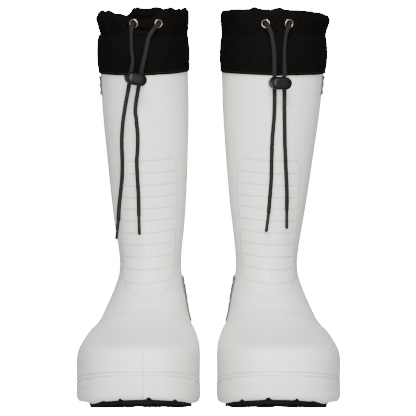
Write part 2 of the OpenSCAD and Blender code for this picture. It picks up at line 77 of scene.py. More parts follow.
# Height, heel, toe, half width, lean, splay, heel width, corner, as in the CAD source.
SHELL_ROWS = np.array([
    [7.5, -85.5, 200, 61.8, 0, 9.3, 0.65, 2.5],
    [11, -87.5, 203.5, 63.6, 0, 9.8, 0.65, 2.5],
    [20, -88, 205, 63.8, 0, 9.8, 0.65, 2.5],
    [34, -88, 205, 63.8, 0, 9.8, 0.65, 2.5],
    [46, -87, 203, 63.8, 0, 9.8, 0.65, 2.5],
    [54, -86, 201, 63.4, 0, 9.6, 0.65, 2.5],
    [61, -85, 196.5, 62.2, 0, 9, 0.66, 2.5],
    [67, -84, 188.5, 60.5, 0, 8, 0.68, 2.45],
    [72, -83, 178, 58.6, 0.4, 7, 0.7, 2.4],
    [77, -82, 164.5, 56, 0.9, 5.9, 0.73, 2.35],
    [82, -80, 149, 52.4, 1.4, 4.4, 0.77, 2.3],
    [88, -78, 129, 48, 1.8, 2.9, 0.81, 2.2],
    [97, -75, 105, 44.1, 2.1, 1.5, 0.88, 2.1],
    [107, -71, 90, 40.5, 1.7, 0.3, 0.94, 2.05],
    [118, -67.5, 76, 36.8, 0.8, 0, 0.98, 2],
    [129, -64.5, 66.5, 33.8, 0.1, 0, 1, 2],
    [141, -62.5, 60, 32.8, 0, 0, 1, 2],
    [158, -62, 56.5, 34.1, 0.2, 0, 1, 2],
    [180, -62, 55, 37.1, 0.8, 0, 1, 2],
    [210, -63.5, 55, 40.6, 1.6, 0, 1, 2],
    [255, -67, 57, 44.7, 3, 0, 1, 2],
    [300, -71.5, 61, 48.3, 4.6, 0, 1, 2],
    [353, -76.5, 66, 50.6, 6.5, 0, 1, 2],
])
COLLAR_ROWS = np.array([
    [341, -77.5, 66.9, 51.7, 6.2, 0, 1, 2],
    [353, -78.3, 67.6, 52.2, 6.6, 0, 1, 2],
    [364, -78.3, 67.6, 52.3, 6.9, 0, 1, 2],
    [372, -78, 67.2, 52.1, 7, 0, 1, 2],
    [378, -77, 66.2, 51.6, 7.1, 0, 1, 2],
    [382.5, -75.6, 64.6, 51, 7.1, 0, 1, 2],
    [389, -76.4, 65.2, 52, 7.6, 0, 1, 2],
    [398, -78, 66.2, 53.4, 8.4, 0, 1, 2],
    [406, -77.6, 65.8, 53.2, 8.4, 0, 1, 2],
    [411, -76, 64, 51.5, 8.2, 0, 1, 2],
])

# Creases that both cuffs have, and dents that both bands have, each from one (turn, z) to another
# with a depth and a width. Turns are in degrees round the collar from its back.
SHARED_FOLDS = [(20, 404, 26, 388, 1.2, 4), (300, 404, 308, 388, 1.2, 4), (335, 404, 330, 388, 1.2, 4)]
SHARED_DENTS = [(112, 372, 118, 350, 0.8, 7), (20, 370, 24, 350, 0.8, 8), (330, 372, 326, 352, 0.8, 8)]

# What differs between the boots. rim and hem are how far those edges of the collar rise or dip
# at a turn, and parting is how far the mould's parting line lies to the outer side, at the toe
# and on the shaft.
BOOTS = {
    "right": {
        "sign": -1, "offset": 61, "spread": -4,
        "eyelets": (172.8, 202.5),
        "lock": (-73.6, -19.9, 339), "roll": 10,
        "parting": (1.7, -1.2),
        "panel": (25.2, 28.4),
        "rim": [(0, 3.2), (5, 3.8), (10, 4.8), (16, 3), (20, -1.6), (28, -4.4), (45, -4.8), (62, -6),
                (78, -7), (92, -6), (106, -2.6), (119, 1.3), (126, -0.6), (135, 0.8), (144, -1.8),
                (156, -3), (168, -6.4), (180, -8.8), (190, -9.4), (198, -6), (207, -1), (218, 1.8),
                (228, 0.2), (240, 2.4), (250, 0.6), (262, 2.6), (285, 3.6), (302, 0.6), (320, 4.2),
                (330, 2.6), (342, 4.8), (352, 3.6)],
        "hem": [(0, 0.8), (60, 0.4), (100, 0.2), (150, -0.4), (185, -0.3), (225, 1.0),
                (262, 2.6), (300, 2.2)],
        "folds": [(165, 391.5, 176, 387.8, 2.8, 1.7), (176, 387.8, 192, 387.6, 3.6, 1.7),
                  (192, 387.6, 199.5, 391, 2.8, 1.7), (171, 384.6, 197, 384.9, -1.2, 1.5),
                  (186, 400.5, 191, 394.5, 2, 1.6), (177, 395.5, 183, 391.8, -0.9, 3.5),
                  (160, 394, 169, 385.6, 2.2, 1.8), (207, 401, 214, 392, 1.2, 3.5),
                  (140, 404, 152, 390, 1, 3.5), (232, 406, 238, 394, 1, 4),
                  (118, 404, 124, 388, 1.2, 3.5), (60, 398, 118, 396, 2.2, 9),
                  (62, 386, 112, 384, 1.4, 4), (50, 405, 44, 390, 1.3, 4)],
        "dents": [(188, 376, 184, 352, 1.6, 5), (228, 374, 222, 356, 0.7, 8)],
        "seed": 11,
    },
    "left": {
        "sign": 1, "offset": 62, "spread": 4,
        "eyelets": (167.7, 191.7),
        "lock": (72.4, -14, 334.4), "roll": 0,
        "parting": (2.1, 1.8),
        "panel": (25.5, 31),
        "rim": [(0, 2), (30, 1.4), (60, -1), (88, -4.2), (104, -4.2), (118, -3), (126, -1.2), (132, -2.6),
                (141, -1.0), (148, -2.4), (156, -0.2), (168, 0.8), (178, 3.4), (188, 1.6), (197, 1.8),
                (206, 4.2), (214, 1.4), (226, 0.8), (238, 2), (248, 0.4), (262, 0.6), (285, 0.8),
                (310, 2), (335, 2.6)],
        "hem": [(0, 0.4), (60, -0.4), (100, -0.2), (150, -0.6), (180, -0.4), (215, 0.4),
                (262, 1.4), (300, 1)],
        "folds": [(172, 402.5, 182, 391.5, 1.9, 2.2), (184, 387, 196, 386.4, 1.4, 2.6),
                  (206, 404, 212, 392, 1, 3.5), (150, 403, 156, 390, 0.9, 3.5),
                  (130, 402, 134, 388, 0.8, 4), (236, 404, 230, 390, 0.9, 4), (50, 403, 44, 390, 1.2, 4)],
        "dents": [(179, 377, 179, 350, 1, 5), (240, 374, 234, 354, 0.8, 8)],
        "seed": 23,
    },
}

# Routes of the cords' free tails in metres in the pair's frame, from the eyelet down to the tip,
# with the far end of each hard tip.
TAILS = {
    "right_cord_outer": {
        "side": "right", "nodes": ("right_cord_tail_outer", "right_cord_tip_outer"), "length": 0.209,
        "route": [
            (-0.0747, -0.0052, 0.3944), (-0.0754, -0.0086, 0.3944), (-0.0768, -0.013, 0.3928),
            (-0.0773, -0.016, 0.3876), (-0.0775, -0.0174, 0.379), (-0.0772, -0.0192, 0.367),
            (-0.0763, -0.021, 0.353), (-0.0835, -0.021, 0.312), (-0.086, -0.0208, 0.295),
            (-0.0873, -0.0202, 0.277), (-0.0869, -0.0195, 0.253), (-0.0873, -0.019, 0.238),
            (-0.0887, -0.0184, 0.225), (-0.0907, -0.0178, 0.206), (-0.0913, -0.0174, 0.1943)],
        "tip": (-0.0938, -0.0166, 0.175),
    },
    "right_cord_inner": {
        "side": "right", "nodes": ("right_cord_tail_inner", "right_cord_tip_inner"), "length": 0.208,
        "route": [
            (-0.0514, -0.0014, 0.3944), (-0.0503, -0.0046, 0.3944), (-0.0508, -0.009, 0.3934),
            (-0.0536, -0.0126, 0.3904), (-0.0572, -0.0144, 0.3856), (-0.06, -0.0154, 0.3796),
            (-0.062, -0.0162, 0.371), (-0.064, -0.0175, 0.361), (-0.066, -0.0188, 0.353),
            (-0.0732, -0.0188, 0.312), (-0.0726, -0.0187, 0.298), (-0.0713, -0.0184, 0.283),
            (-0.0714, -0.0181, 0.269), (-0.0723, -0.018, 0.255), (-0.0717, -0.0178, 0.238),
            (-0.0707, -0.0176, 0.219), (-0.0704, -0.0173, 0.1993)],
        "tip": (-0.0699, -0.0168, 0.1796),
    },
    "left_cord_inner": {
        "side": "left", "nodes": ("left_cord_tail_inner", "left_cord_tip_inner"), "length": 0.201,
        "route": [
            (0.0596, -0.002, 0.3944), (0.059, -0.0054, 0.3944), (0.0598, -0.0096, 0.393),
            (0.0624, -0.0122, 0.3886), (0.0644, -0.0132, 0.3824), (0.0658, -0.0138, 0.374),
            (0.067, -0.0144, 0.363), (0.0673, -0.0151, 0.35), (0.0673, -0.0151, 0.307),
            (0.0664, -0.0151, 0.292), (0.0652, -0.015, 0.276), (0.0647, -0.0148, 0.256),
            (0.0644, -0.0145, 0.238), (0.0632, -0.0142, 0.22), (0.0618, -0.0139, 0.2017)],
        "tip": (0.0593, -0.0134, 0.182),
    },
    "left_cord_outer": {
        "side": "left", "nodes": ("left_cord_tail_outer", "left_cord_tip_outer"), "length": 0.198,
        "route": [
            (0.0818, -0.0004, 0.3944), (0.0827, -0.0038, 0.3944), (0.0826, -0.0082, 0.3932),
            (0.0806, -0.011, 0.3886), (0.0788, -0.0118, 0.3824), (0.0778, -0.0121, 0.374),
            (0.0773, -0.0124, 0.363), (0.0775, -0.0129, 0.35), (0.0775, -0.0129, 0.307),
            (0.0778, -0.0129, 0.292), (0.0781, -0.0129, 0.276), (0.0789, -0.0128, 0.256),
            (0.0799, -0.0126, 0.236), (0.0805, -0.0124, 0.22), (0.0804, -0.0122, 0.2045)],
        "tip": (0.0804, -0.0118, 0.1853),
    },
}


# ---- shapes shared with the CAD

def ease(x):
    t = np.clip(x, 0, 1)
    return t * t * (3 - 2 * t)


def unit(vectors):
    return vectors / np.linalg.norm(vectors, axis=-1, keepdims=True)


def run_along(path):
    """The distance along a path at each of its points."""
    return np.concatenate([[0], np.linalg.norm(np.diff(path, axis=0), axis=1).cumsum()])


def hermite(t, h, a, slope_a, b, slope_b):
    """A cubic from a to b over a span of h, at the share t of it."""
    return ((2 * t**3 - 3 * t**2 + 1) * a + (t**3 - 2 * t**2 + t) * h * slope_a
            + (3 * t**2 - 2 * t**3) * b + (t**3 - t**2) * h * slope_b)


def rows_at(rows, z):
    """The table's values at the heights z, on a smooth curve through its rows."""
    z = np.asarray(z, float)
    i = np.clip(np.searchsorted(rows[:, 0], z, side="right") - 1, 0, len(rows) - 2)
    order = np.arange(len(rows))
    low = np.maximum(order - 1, 0)
    high = np.minimum(order + 1, len(rows) - 1)
    slope = (rows[high] - rows[low]) / (rows[high, 0] - rows[low, 0])[:, None]
    a, b = rows[i], rows[i + 1]
    h = (b[..., 0] - a[..., 0])[..., None]
    return hermite((z - a[..., 0])[..., None] / h, h, a, slope[i], b, slope[i + 1])


def sole_spring(ahead):
    """How far the sole is off the ground at a distance ahead of the leg axis."""
    toe = np.maximum(0, ahead - TOE_ROLL) / (205 - TOE_ROLL)
    heel = np.maximum(0, -62 - ahead) / 26
    return TOE_LIFT * toe**1.3 + 3 * heel**2


def fullness(row, share):
    p = row[..., 7]
    plan = np.maximum(0, 1 - np.abs(2 * share - 1)**p)**(1 / p)
    return plan * (row[..., 6] + (1 - row[..., 6]) * ease((share - 0.2) / 0.46))


def skin_point(rows, z, turn, spread):
    """Points of the outer skin at heights z and turns in degrees, as (out, -ahead, z)."""
    z, turn = np.broadcast_arrays(np.asarray(z, float), np.asarray(turn, float))
    row = rows_at(rows, z)
    share = (1 - np.cos(np.radians(turn))) / 2
    side = np.where(np.sin(np.radians(turn)) >= 0, 1, -1)
    grow = spread * np.clip((z - SPREAD_START) / (SHAFT_TOP - SPREAD_START), 0, 1)
    full = fullness(row, share)
    out = row[..., 4] + side * full * (row[..., 3] + grow) + full * row[..., 5] * ease(share / 0.66)
    back = row[..., 1] + 0.4 * grow
    front = row[..., 2] - 0.4 * grow
    ahead = back + (front - back) * share
    fade = 1 - ease((z - 50) / 60)
    return np.stack([out, -ahead, z + sole_spring(ahead) * fade], -1)


def skin_normal(rows, z, turn, spread):
    rise = skin_point(rows, z + 2, turn, spread) - skin_point(rows, z - 2, turn, spread)
    along = skin_point(rows, z, turn + 3, spread) - skin_point(rows, z, turn - 3, spread)
    return unit(np.cross(rise, along))


def inset(rows, z, turn, spread, depth):
    """The skin moved in by a depth, which may be one number for each point."""
    z, turn = np.broadcast_arrays(np.asarray(z, float), np.asarray(turn, float))
    depth = np.broadcast_to(np.asarray(depth, float), z.shape)
    return skin_point(rows, z, turn, spread) - depth[..., None] * skin_normal(rows, z, turn, spread)


def wall_at(z):
    return FOOT_WALL + (SHAFT_WALL - FOOT_WALL) * ease((z - 34) / 50)


def place(boot, points):
    """Points of a boot's own frame in millimetres, in the pair's frame in metres."""
    points = np.asarray(points, float)
    moved = points.copy()
    moved[..., 0] = boot["sign"] * (boot["offset"] + points[..., 0])
    moved[..., 1] = LEG_Y + points[..., 1]
    return moved * MM


# ---- mesh helpers

def new_object(name, vertices, faces, material, smooth=True, uv=None):
    """A mesh object. Its faces are turned outwards. uv holds one pair for each face corner."""
    mesh = bpy.data.meshes.new(name)
    mesh.from_pydata([tuple(v) for v in np.asarray(vertices, float).reshape(-1, 3)], [], faces)
    if uv is not None:
        mesh.uv_layers.new(name="Cloth").data.foreach_set("uv", np.asarray(uv, np.float32).ravel())
    mesh.polygons.foreach_set("use_smooth", [smooth] * len(mesh.polygons))
    mesh.update()
    obj = bpy.data.objects.new(name, mesh)
    bpy.context.scene.collection.objects.link(obj)
    obj.data.materials.append(material)
    face_outwards(obj)
    return obj


def face_outwards(obj):
    """Turns every face of a closed mesh outwards."""
    work = bmesh.new()
    work.from_mesh(obj.data)
    bmesh.ops.recalc_face_normals(work, faces=work.faces)
    if work.calc_volume(signed=True) < 0:
        bmesh.ops.reverse_faces(work, faces=work.faces)
    work.to_mesh(obj.data)
    work.free()


def grid_faces(rows, columns, closed_columns=True, closed_rows=False):
    """Quads of a grid of rows by columns."""
    last_column = columns if closed_columns else columns - 1
    last_row = rows if closed_rows else rows - 1
    return [(r * columns + c, r * columns + (c + 1) % columns,
             (r + 1) % rows * columns + (c + 1) % columns, (r + 1) % rows * columns + c)
            for r in range(last_row) for c in range(last_column)]


def grid_uv(points):
    """Cloth coordinates for the quads of a closed grid, in centimetres along and across the cloth."""
    rows, columns = points.shape[:2]
    middle = points[rows // 2]
    along = run_along(np.concatenate([middle, middle[:1]])) / 10
    front = points[:, columns // 2]
    across = run_along(np.concatenate([front, front[:1]])) / 10
    return [(along[c + i], across[r + j]) for r in range(rows) for c in range(columns)
            for i, j in ((0, 0), (1, 0), (1, 1), (0, 1))]


def closed_faces(rows, columns):
    """Faces of a tube of rings, closed by one face over each of its ends."""
    last = (rows - 1) * columns
    return grid_faces(rows, columns) + [tuple(range(columns)), tuple(range(last, last + columns))]


def add_part(vertices, faces, more, more_faces):
    """Adds one part's points and faces to the lists of a mesh."""
    first = len(vertices)
    vertices += [tuple(p) for p in more]
    faces += [tuple(first + i for i in face) for face in more_faces]


def claim(obj, body, cad_node):
    """Rides a piece on its body, in place of its CAD node."""
    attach(obj, body)
    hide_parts(cad_node)


def shade_by_angle(obj, degrees):
    obj.data.set_sharp_from_angle(angle=math.radians(degrees))


def apply_modifiers(obj):
    graph = bpy.context.evaluated_depsgraph_get()
    mesh = bpy.data.meshes.new_from_object(obj.evaluated_get(graph))
    obj.modifiers.clear()
    obj.data = mesh


def cut(obj, cutters):
    """Cuts closed meshes out of obj, then removes those meshes."""
    bpy.context.view_layer.update()
    for cutter in cutters:
        step = obj.modifiers.new("cut", "BOOLEAN")
        step.operation = "DIFFERENCE"
        step.solver = "MANIFOLD"
        step.object = cutter
    bpy.context.view_layer.update()
    apply_modifiers(obj)
    for cutter in cutters:
        bpy.data.objects.remove(cutter)


def turn_columns(count, crowd):
    """Turns round a boot in degrees, crowded towards the toe."""
    t = np.arange(count) / count
    return 360 * t + crowd * np.sin(2 * math.pi * t)


def near_line(turn, z, line):
    """The depth of a crease at points of the collar: its full depth on the line, 0 far off."""
    turn0, z0, turn1, z1, depth, width = line
    scale = math.radians(1) * COLLAR_R
    a = np.array([turn0 * scale, z0])
    d = np.array([turn1 * scale, z1]) - a
    apart = (np.asarray(turn) - turn0 + 180) % 360 - 180
    p = np.stack(np.broadcast_arrays(apart * scale, z - z0), -1)
    t = np.clip(p @ d / (d @ d), 0, 1)
    gap = np.linalg.norm(p - t[..., None] * d, axis=-1)
    taper = 0.35 + 0.65 * np.sin(math.pi * np.clip(t, 0.08, 0.92))
    return depth * taper * np.exp(-(gap / width)**2)


def ring_noise(turn, seed, terms, low, high):
    """A smooth periodic wobble round a ring, from -1 to 1."""
    rng = np.random.default_rng(seed)
    total = np.zeros(np.shape(turn))
    for _ in range(terms):
        total = total + np.sin(np.radians(turn) * rng.integers(low, high) + rng.uniform(0, 2 * math.pi))
    return total / terms


def through_points(points, turn):
    """A smooth periodic curve through (turn, value) points."""
    known = np.array(points, float)
    angle = np.concatenate([known[-2:, 0] - 360, known[:, 0], known[:2, 0] + 360])
    value = np.concatenate([known[-2:, 1], known[:, 1], known[:2, 1]])
    slope = (np.roll(value, -1) - np.roll(value, 1)) / (np.roll(angle, -1) - np.roll(angle, 1))
    turn = np.mod(turn, 360)
    i = np.clip(np.searchsorted(angle, turn, side="right") - 1, 1, len(angle) - 3)
    h = angle[i + 1] - angle[i]
    return hermite((turn - angle[i]) / h, h, value[i], slope[i], value[i + 1], slope[i + 1])


def smooth_route(route, steps):
    """A smooth curve through a route, with a number of steps between each two of its points."""
    points = np.array(route, float)
    last = len(points) - 1
    made = []
    for i in range(last):
        a, b, c, d = (points[min(max(k, 0), last)] for k in (i - 1, i, i + 1, i + 2))
        for k in range(steps):
            t = k / steps
            made.append(0.5 * (2 * b + (c - a) * t + (2 * a - 5 * b + 4 * c - d) * t * t
                               + (3 * b - a - 3 * c + d) * t**3))
    made.append(points[last])
    return np.array(made)


def evenly(path, spacing):
    """A path resampled at even steps, and the distance along it at each step."""
    run = run_along(path)
    where = np.linspace(0, run[-1], max(2, round(run[-1] / spacing)) + 1)
    return np.stack([np.interp(where, run, path[:, k]) for k in range(3)], -1), where


def tube(path, radius_at, sides):
    """Rings of a tube along a path. radius_at(i, angles) gives the radii of ring i."""
    heading = unit(np.gradient(path, axis=0))
    reference = np.array([1.0, 0, 0])
    angles = np.arange(sides) * 2 * math.pi / sides
    rings = []
    for i, (p, d) in enumerate(zip(path, heading)):
        a = unit(reference - (reference @ d) * d)
        b = np.cross(d, a)
        r = np.asarray(radius_at(i, angles)) * np.ones(sides)
        rings.append(p + r[:, None] * (np.cos(angles)[:, None] * a + np.sin(angles)[:, None] * b))
    return np.array(rings)


# ---- materials

def material(name, color, roughness, **sockets):
    """A Principled material, its node tree and its shader node."""
    made = bpy.data.materials.new(name)
    made.use_nodes = True
    tree = made.node_tree
    shader = tree.nodes["Principled BSDF"]
    shader.inputs["Base Color"].default_value = (*color, 1)
    shader.inputs["Roughness"].default_value = roughness
    for socket, value in sockets.items():
        shader.inputs[socket.replace("_", " ")].default_value = value
    return made, tree, shader


def node(tree, kind, links=None, **settings):
    """A shader node with its settings, and with its named inputs linked or set."""
    made = tree.nodes.new(kind)
    for key, value in settings.items():
        setattr(made, key, value)
    for key, value in (links or {}).items():
        socket = made.inputs[key]
        if isinstance(value, bpy.types.NodeSocket):
            tree.links.new(value, socket)
        else:
            socket.default_value = value
    return made


def noise(tree, vector, scale, detail=2.0, rough=0.5):
    return node(tree, "ShaderNodeTexNoise",
                {"Vector": vector, "Scale": scale, "Detail": detail, "Roughness": rough}).outputs["Fac"]


def math_node(tree, operation, *values):
    return node(tree, "ShaderNodeMath", dict(enumerate(values)), operation=operation).outputs[0]


def spread_to(tree, value, low, high):
    """Maps 0..1 to low..high."""
    made = node(tree, "ShaderNodeMapRange", {"Value": value, "To Min": low, "To Max": high})
    return made.outputs["Result"]


def two_colors(tree, factor, first, second):
    mix = node(tree, "ShaderNodeMix", data_type="RGBA")
    tree.links.new(factor, mix.inputs["Factor"])
    for socket, value in ((mix.inputs[6], first), (mix.inputs[7], second)):
        if isinstance(value, bpy.types.NodeSocket):
            tree.links.new(value, socket)
        else:
            socket.default_value = (*value, 1)
    return mix.outputs[2]


def object_place(tree):
    return node(tree, "ShaderNodeTexCoord").outputs["Object"]


def paint(tree, shader, factor, first, second):
    tree.links.new(two_colors(tree, factor, first, second), shader.inputs["Base Color"])


def vary_roughness(tree, shader, factor, low, high):
    tree.links.new(spread_to(tree, factor, low, high), shader.inputs["Roughness"])


def bump(tree, shader, height, strength, distance):
    made = node(tree, "ShaderNodeBump", {"Height": height, "Strength": strength, "Distance": distance})
    tree.links.new(made.outputs["Normal"], shader.inputs["Normal"])


def foam_material():
    """Moulded foam: faint mottling, a fine orange-peel skin, and painted shade that darkens the colour in
    grooves and along edges.
    """
    made, tree, shader = material("eva_foam", (0.745, 0.745, 0.725), 0.42, Specular_IOR_Level=0.32)
    where = object_place(tree)
    mottle = noise(tree, where, 24, 4, 0.6)
    speck = noise(tree, where, 900, 2, 0.6)
    base = two_colors(tree, mottle, (0.81, 0.812, 0.762), (0.852, 0.85, 0.80))
    # Painted shade: the foam's colour is mixed towards dark grey in grooves and along edges, by a per-point
    # attribute from the shell.
    groove_shade = node(tree, "ShaderNodeAttribute", attribute_name="groove_shade").outputs["Fac"]
    shaded_base = two_colors(tree, groove_shade, base, (0.40, 0.40, 0.38))
    fleck = spread_to(tree, math_node(tree, "GREATER_THAN", speck, 0.70), 0, 0.35)
    paint(tree, shader, fleck, shaded_base, (0.62, 0.61, 0.58))
    vary_roughness(tree, shader, noise(tree, where, 60, 3), 0.36, 0.5)
    skin = math_node(tree, "ADD", math_node(tree, "MULTIPLY", noise(tree, where, 420, 2), 0.7),
                     math_node(tree, "MULTIPLY", noise(tree, where, 90, 2), 0.5))
    bump(tree, shader, skin, 0.12, 0.0006)
    return made


def grained_material(name, base, roughness, colors, grains, rough_span, relief, **sockets):
    """A material that varies by three noises in turn: its colour, its roughness and its relief."""
    made, tree, shader = material(name, base, roughness, **sockets)
    where = object_place(tree)
    color, rough, height = (noise(tree, where, *grain) for grain in grains)
    paint(tree, shader, color, *colors)
    vary_roughness(tree, shader, rough, *rough_span)
    bump(tree, shader, height, *relief)
    return made


def weave(tree, threads, fine):
    """The height of a plain weave with a number of threads to the centimetre, and its coordinates."""
    where = node(tree, "ShaderNodeUVMap", uv_map="Cloth").outputs["UV"]
    wobble = node(tree, "ShaderNodeTexNoise", {"Vector": where, "Scale": 3.0, "Detail": 2.0})
    bent = node(tree, "ShaderNodeVectorMath", {0: where, 1: node(
        tree, "ShaderNodeVectorMath", {0: wobble.outputs["Color"], 1: (0.02, 0.02, 0)},
        operation="MULTIPLY").outputs[0]}, operation="ADD").outputs[0]
    split = node(tree, "ShaderNodeSeparateXYZ", {"Vector": bent})
    waves = []
    for axis, phase in (("X", 0.0), ("Y", 0.5)):
        turned = math_node(tree, "MULTIPLY", split.outputs[axis], threads * math.pi)
        wave = math_node(tree, "SINE", math_node(tree, "ADD", turned, phase))
        waves.append(math_node(tree, "ABSOLUTE", wave))
    crossed = math_node(tree, "MULTIPLY", waves[0], waves[1])
    fuzz = noise(tree, where, fine, 3, 0.7)
    return math_node(tree, "ADD", math_node(tree, "MULTIPLY", crossed, 0.8),
                     math_node(tree, "MULTIPLY", fuzz, 0.4)), where


def cloth_material(name, dark, light, threads, sheen, strength):
    """Woven cloth: threads both ways, faded patches, a soft sheen."""
    made, tree, shader = material(name, light, 0.9, Specular_IOR_Level=0.012, Sheen_Weight=sheen,
                                  Sheen_Roughness=0.45)
    height, where = weave(tree, threads, 40)
    patches = noise(tree, where, 0.5, 5, 0.6)
    shade = math_node(tree, "MULTIPLY", height, spread_to(tree, patches, 0.5, 1.15))
    paint(tree, shader, shade, dark, light)
    vary_roughness(tree, shader, patches, 0.78, 0.95)
    bump(tree, shader, height, strength, 0.0005)
    return made


def pile_material(name, dark, light):
    """Felted or brushed lining: short tangled fibres."""
    made, tree, shader = material(name, light, 0.95, Sheen_Weight=0.35, Specular_IOR_Level=0.1)
    where = object_place(tree)
    fibres = noise(tree, where, 450, 6, 0.75)
    clumps = noise(tree, where, 70, 3, 0.6)
    both = math_node(tree, "MULTIPLY", fibres, spread_to(tree, clumps, 0.5, 1.3))
    paint(tree, shader, both, dark, light)
    vary_roughness(tree, shader, clumps, 0.85, 1.0)
    bump(tree, shader, both, 0.7, 0.0012)
    return made


def cord_material():
    made, tree, shader = material("braided_cord", (0.016, 0.014, 0.013), 0.7, Sheen_Weight=0.02,
                                  Specular_IOR_Level=0.12)
    where = object_place(tree)
    raised = node(tree, "ShaderNodeAttribute", attribute_name="braid_shade").outputs["Fac"]
    # Painted shade: the hollows between the braid's strands are painted darker and the strands' tops
    # lighter.
    paint(tree, shader, raised, (0.0020, 0.0018, 0.0017), (0.0175, 0.016, 0.0155))
    vary_roughness(tree, shader, noise(tree, where, 500, 3), 0.6, 0.85)
    bump(tree, shader, noise(tree, where, 2200, 2), 0.3, 0.0002)
    return made


def plastic_material(name, dark, light, roughness, specular):
    """Moulded hard plastic with a fine grain and slight flow marks."""
    return grained_material(name, light, roughness, (dark, light), ((130, 4, 0.6), (380, 3), (1500, 2)),
                            (roughness * 0.8, roughness * 1.25), (0.12, 0.0002),
                            Specular_IOR_Level=specular)


def metal_material(name, dark, light, roughness):
    """Plated metal with fine scratches and a slight tarnish."""
    return grained_material(name, light, roughness, (dark, light), ((260, 4, 0.65), (900, 3), (1800, 2)),
                            (roughness * 0.7, roughness * 1.4), (0.1, 0.0001), Metallic=1.0)


def thread_material(name, color):
    made, tree, shader = material(name, color, 0.7, Specular_IOR_Level=0.08)
    where = object_place(tree)
    twist = noise(tree, where, 1800, 2)
    paint(tree, shader, twist, [c * 0.5 for c in color], color)
    bump(tree, shader, twist, 0.4, 0.0002)
    return made


FOAM = foam_material()
RUBBER = grained_material("outsole_rubber", (0.004, 0.0036, 0.003), 0.6,
                          ((0.0015, 0.0013, 0.001), (0.006, 0.0054, 0.0045)),
                          ((40, 5, 0.6), (120, 3), (700, 3)), (0.5, 0.75), (0.25, 0.0004),
                          Specular_IOR_Level=0.06)
COLLAR_CLOTH = cloth_material("collar_cloth", (0.0014, 0.0012, 0.0011), (0.0072, 0.0062, 0.0057), 11,
                              sheen=0.002, strength=0.45)
LINER_PILE = pile_material("liner_pile", (0.055, 0.056, 0.06), (0.20, 0.20, 0.21))
INSOLE_PILE = pile_material("insole_pile", (0.03, 0.03, 0.032), (0.13, 0.13, 0.135))
CORD = cord_material()
TIP_PLASTIC = plastic_material("tip_plastic", (0.0025, 0.0022, 0.002), (0.011, 0.0095, 0.0085),
                               0.42, specular=0.2)
LOCK_PLASTIC = plastic_material("lock_plastic", (0.0022, 0.0020, 0.0016), (0.0055, 0.0052, 0.0044),
                                0.36, specular=0.17)
EYELET_METAL = metal_material("eyelet_metal", (0.10, 0.085, 0.07), (0.42, 0.37, 0.32), 0.2)
SPRING_METAL = metal_material("spring_metal", (0.5, 0.5, 0.5), (0.7, 0.7, 0.7), 0.3)
HEM_THREAD = thread_material("hem_thread", (0.07, 0.06, 0.05))
SEAM_THREAD = thread_material("seam_thread", (0.004, 0.0036, 0.0033))
# The ankle grip's darker grey is painted shade, standing in for the shade between the two boots.
SHADED_GRIP_FOAM = plastic_material("grip_foam", (0.075, 0.085, 0.078), (0.13, 0.14, 0.13), 0.55, specular=0.25)
# The badge's darker grey is painted shade, standing in for the shade on the boot's outer side.
SHADED_BADGE_FOAM = plastic_material("badge_foam", (0.055, 0.058, 0.053), (0.10, 0.105, 0.095), 0.55, specular=0.2)


# ---- camera, light and floor

# Bright enough that the backdrop comes out pure white.
WHITE_OUT = 30.0


def aimed_object(name, data, place_at, aim_at):
    made = bpy.data.objects.new(name, data)
    bpy.context.scene.collection.objects.link(made)
    made.location = place_at
    made.rotation_euler = (Vector(aim_at) - Vector(place_at)).to_track_quat("-Z", "Y").to_euler()
    return made


def make_camera():
    """A long lens two metres ahead of the leg axis, a little above the boots' middle."""
    data = bpy.data.cameras.new("camera")
    data.sensor_width = 36
    data.lens = 164.4
    data.clip_start = 0.05
    bpy.context.scene.camera = aimed_object("camera", data, (0, -1.9415, 0.40), (0, 0.0585, 0.20))


def soft_light(name, place_at, aim_at, size, power):
    data = bpy.data.lights.new(name, "AREA")
    data.shape = "RECTANGLE"
    data.size, data.size_y = size
    data.energy = power
    aimed_object(name, data, place_at, aim_at)


def make_studio():
    world = bpy.data.worlds.new("studio")
    bpy.context.scene.world = world
    world.use_nodes = True
    tree = world.node_tree
    seen = tree.nodes["Background"]
    seen.inputs["Color"].default_value = (1, 1, 1, 1)
    seen.inputs["Strength"].default_value = WHITE_OUT
    lit = node(tree, "ShaderNodeBackground", {"Color": (1, 1, 0.985, 1), "Strength": 0.36})
    ray = node(tree, "ShaderNodeLightPath").outputs["Is Camera Ray"]
    mix = node(tree, "ShaderNodeMixShader", {0: ray, 1: lit.outputs[0], 2: seen.outputs[0]})
    tree.links.new(mix.outputs[0], tree.nodes["World Output"].inputs["Surface"])
    soft_light("key", (0, -1.6, 1.8), (0, 0, 0.15), (0.8, 0.7), 70)
    soft_light("front", (0, -1.5, 0.45), (0, 0, 0.2), (0.4, 0.6), 24)


def make_floor():
    size = 3.0
    corners = [(-size, -size, 0), (size, -size, 0), (size, size, 0), (-size, size, 0)]
    made, tree, shader = material("pale_floor", (0.5, 0.5, 0.5), 0.8)
    ray = node(tree, "ShaderNodeLightPath").outputs["Is Camera Ray"]
    glow = node(tree, "ShaderNodeEmission", {"Color": (1, 1, 1, 1), "Strength": WHITE_OUT})
    mix = node(tree, "ShaderNodeMixShader", {0: ray, 1: shader.outputs[0], 2: glow.outputs[0]})
    tree.links.new(mix.outputs[0], tree.nodes["Material Output"].inputs["Surface"])
    floor = new_object("floor", corners, [(0, 1, 2, 3)], made, smooth=False)


make_camera()


# ---- cords and their tips

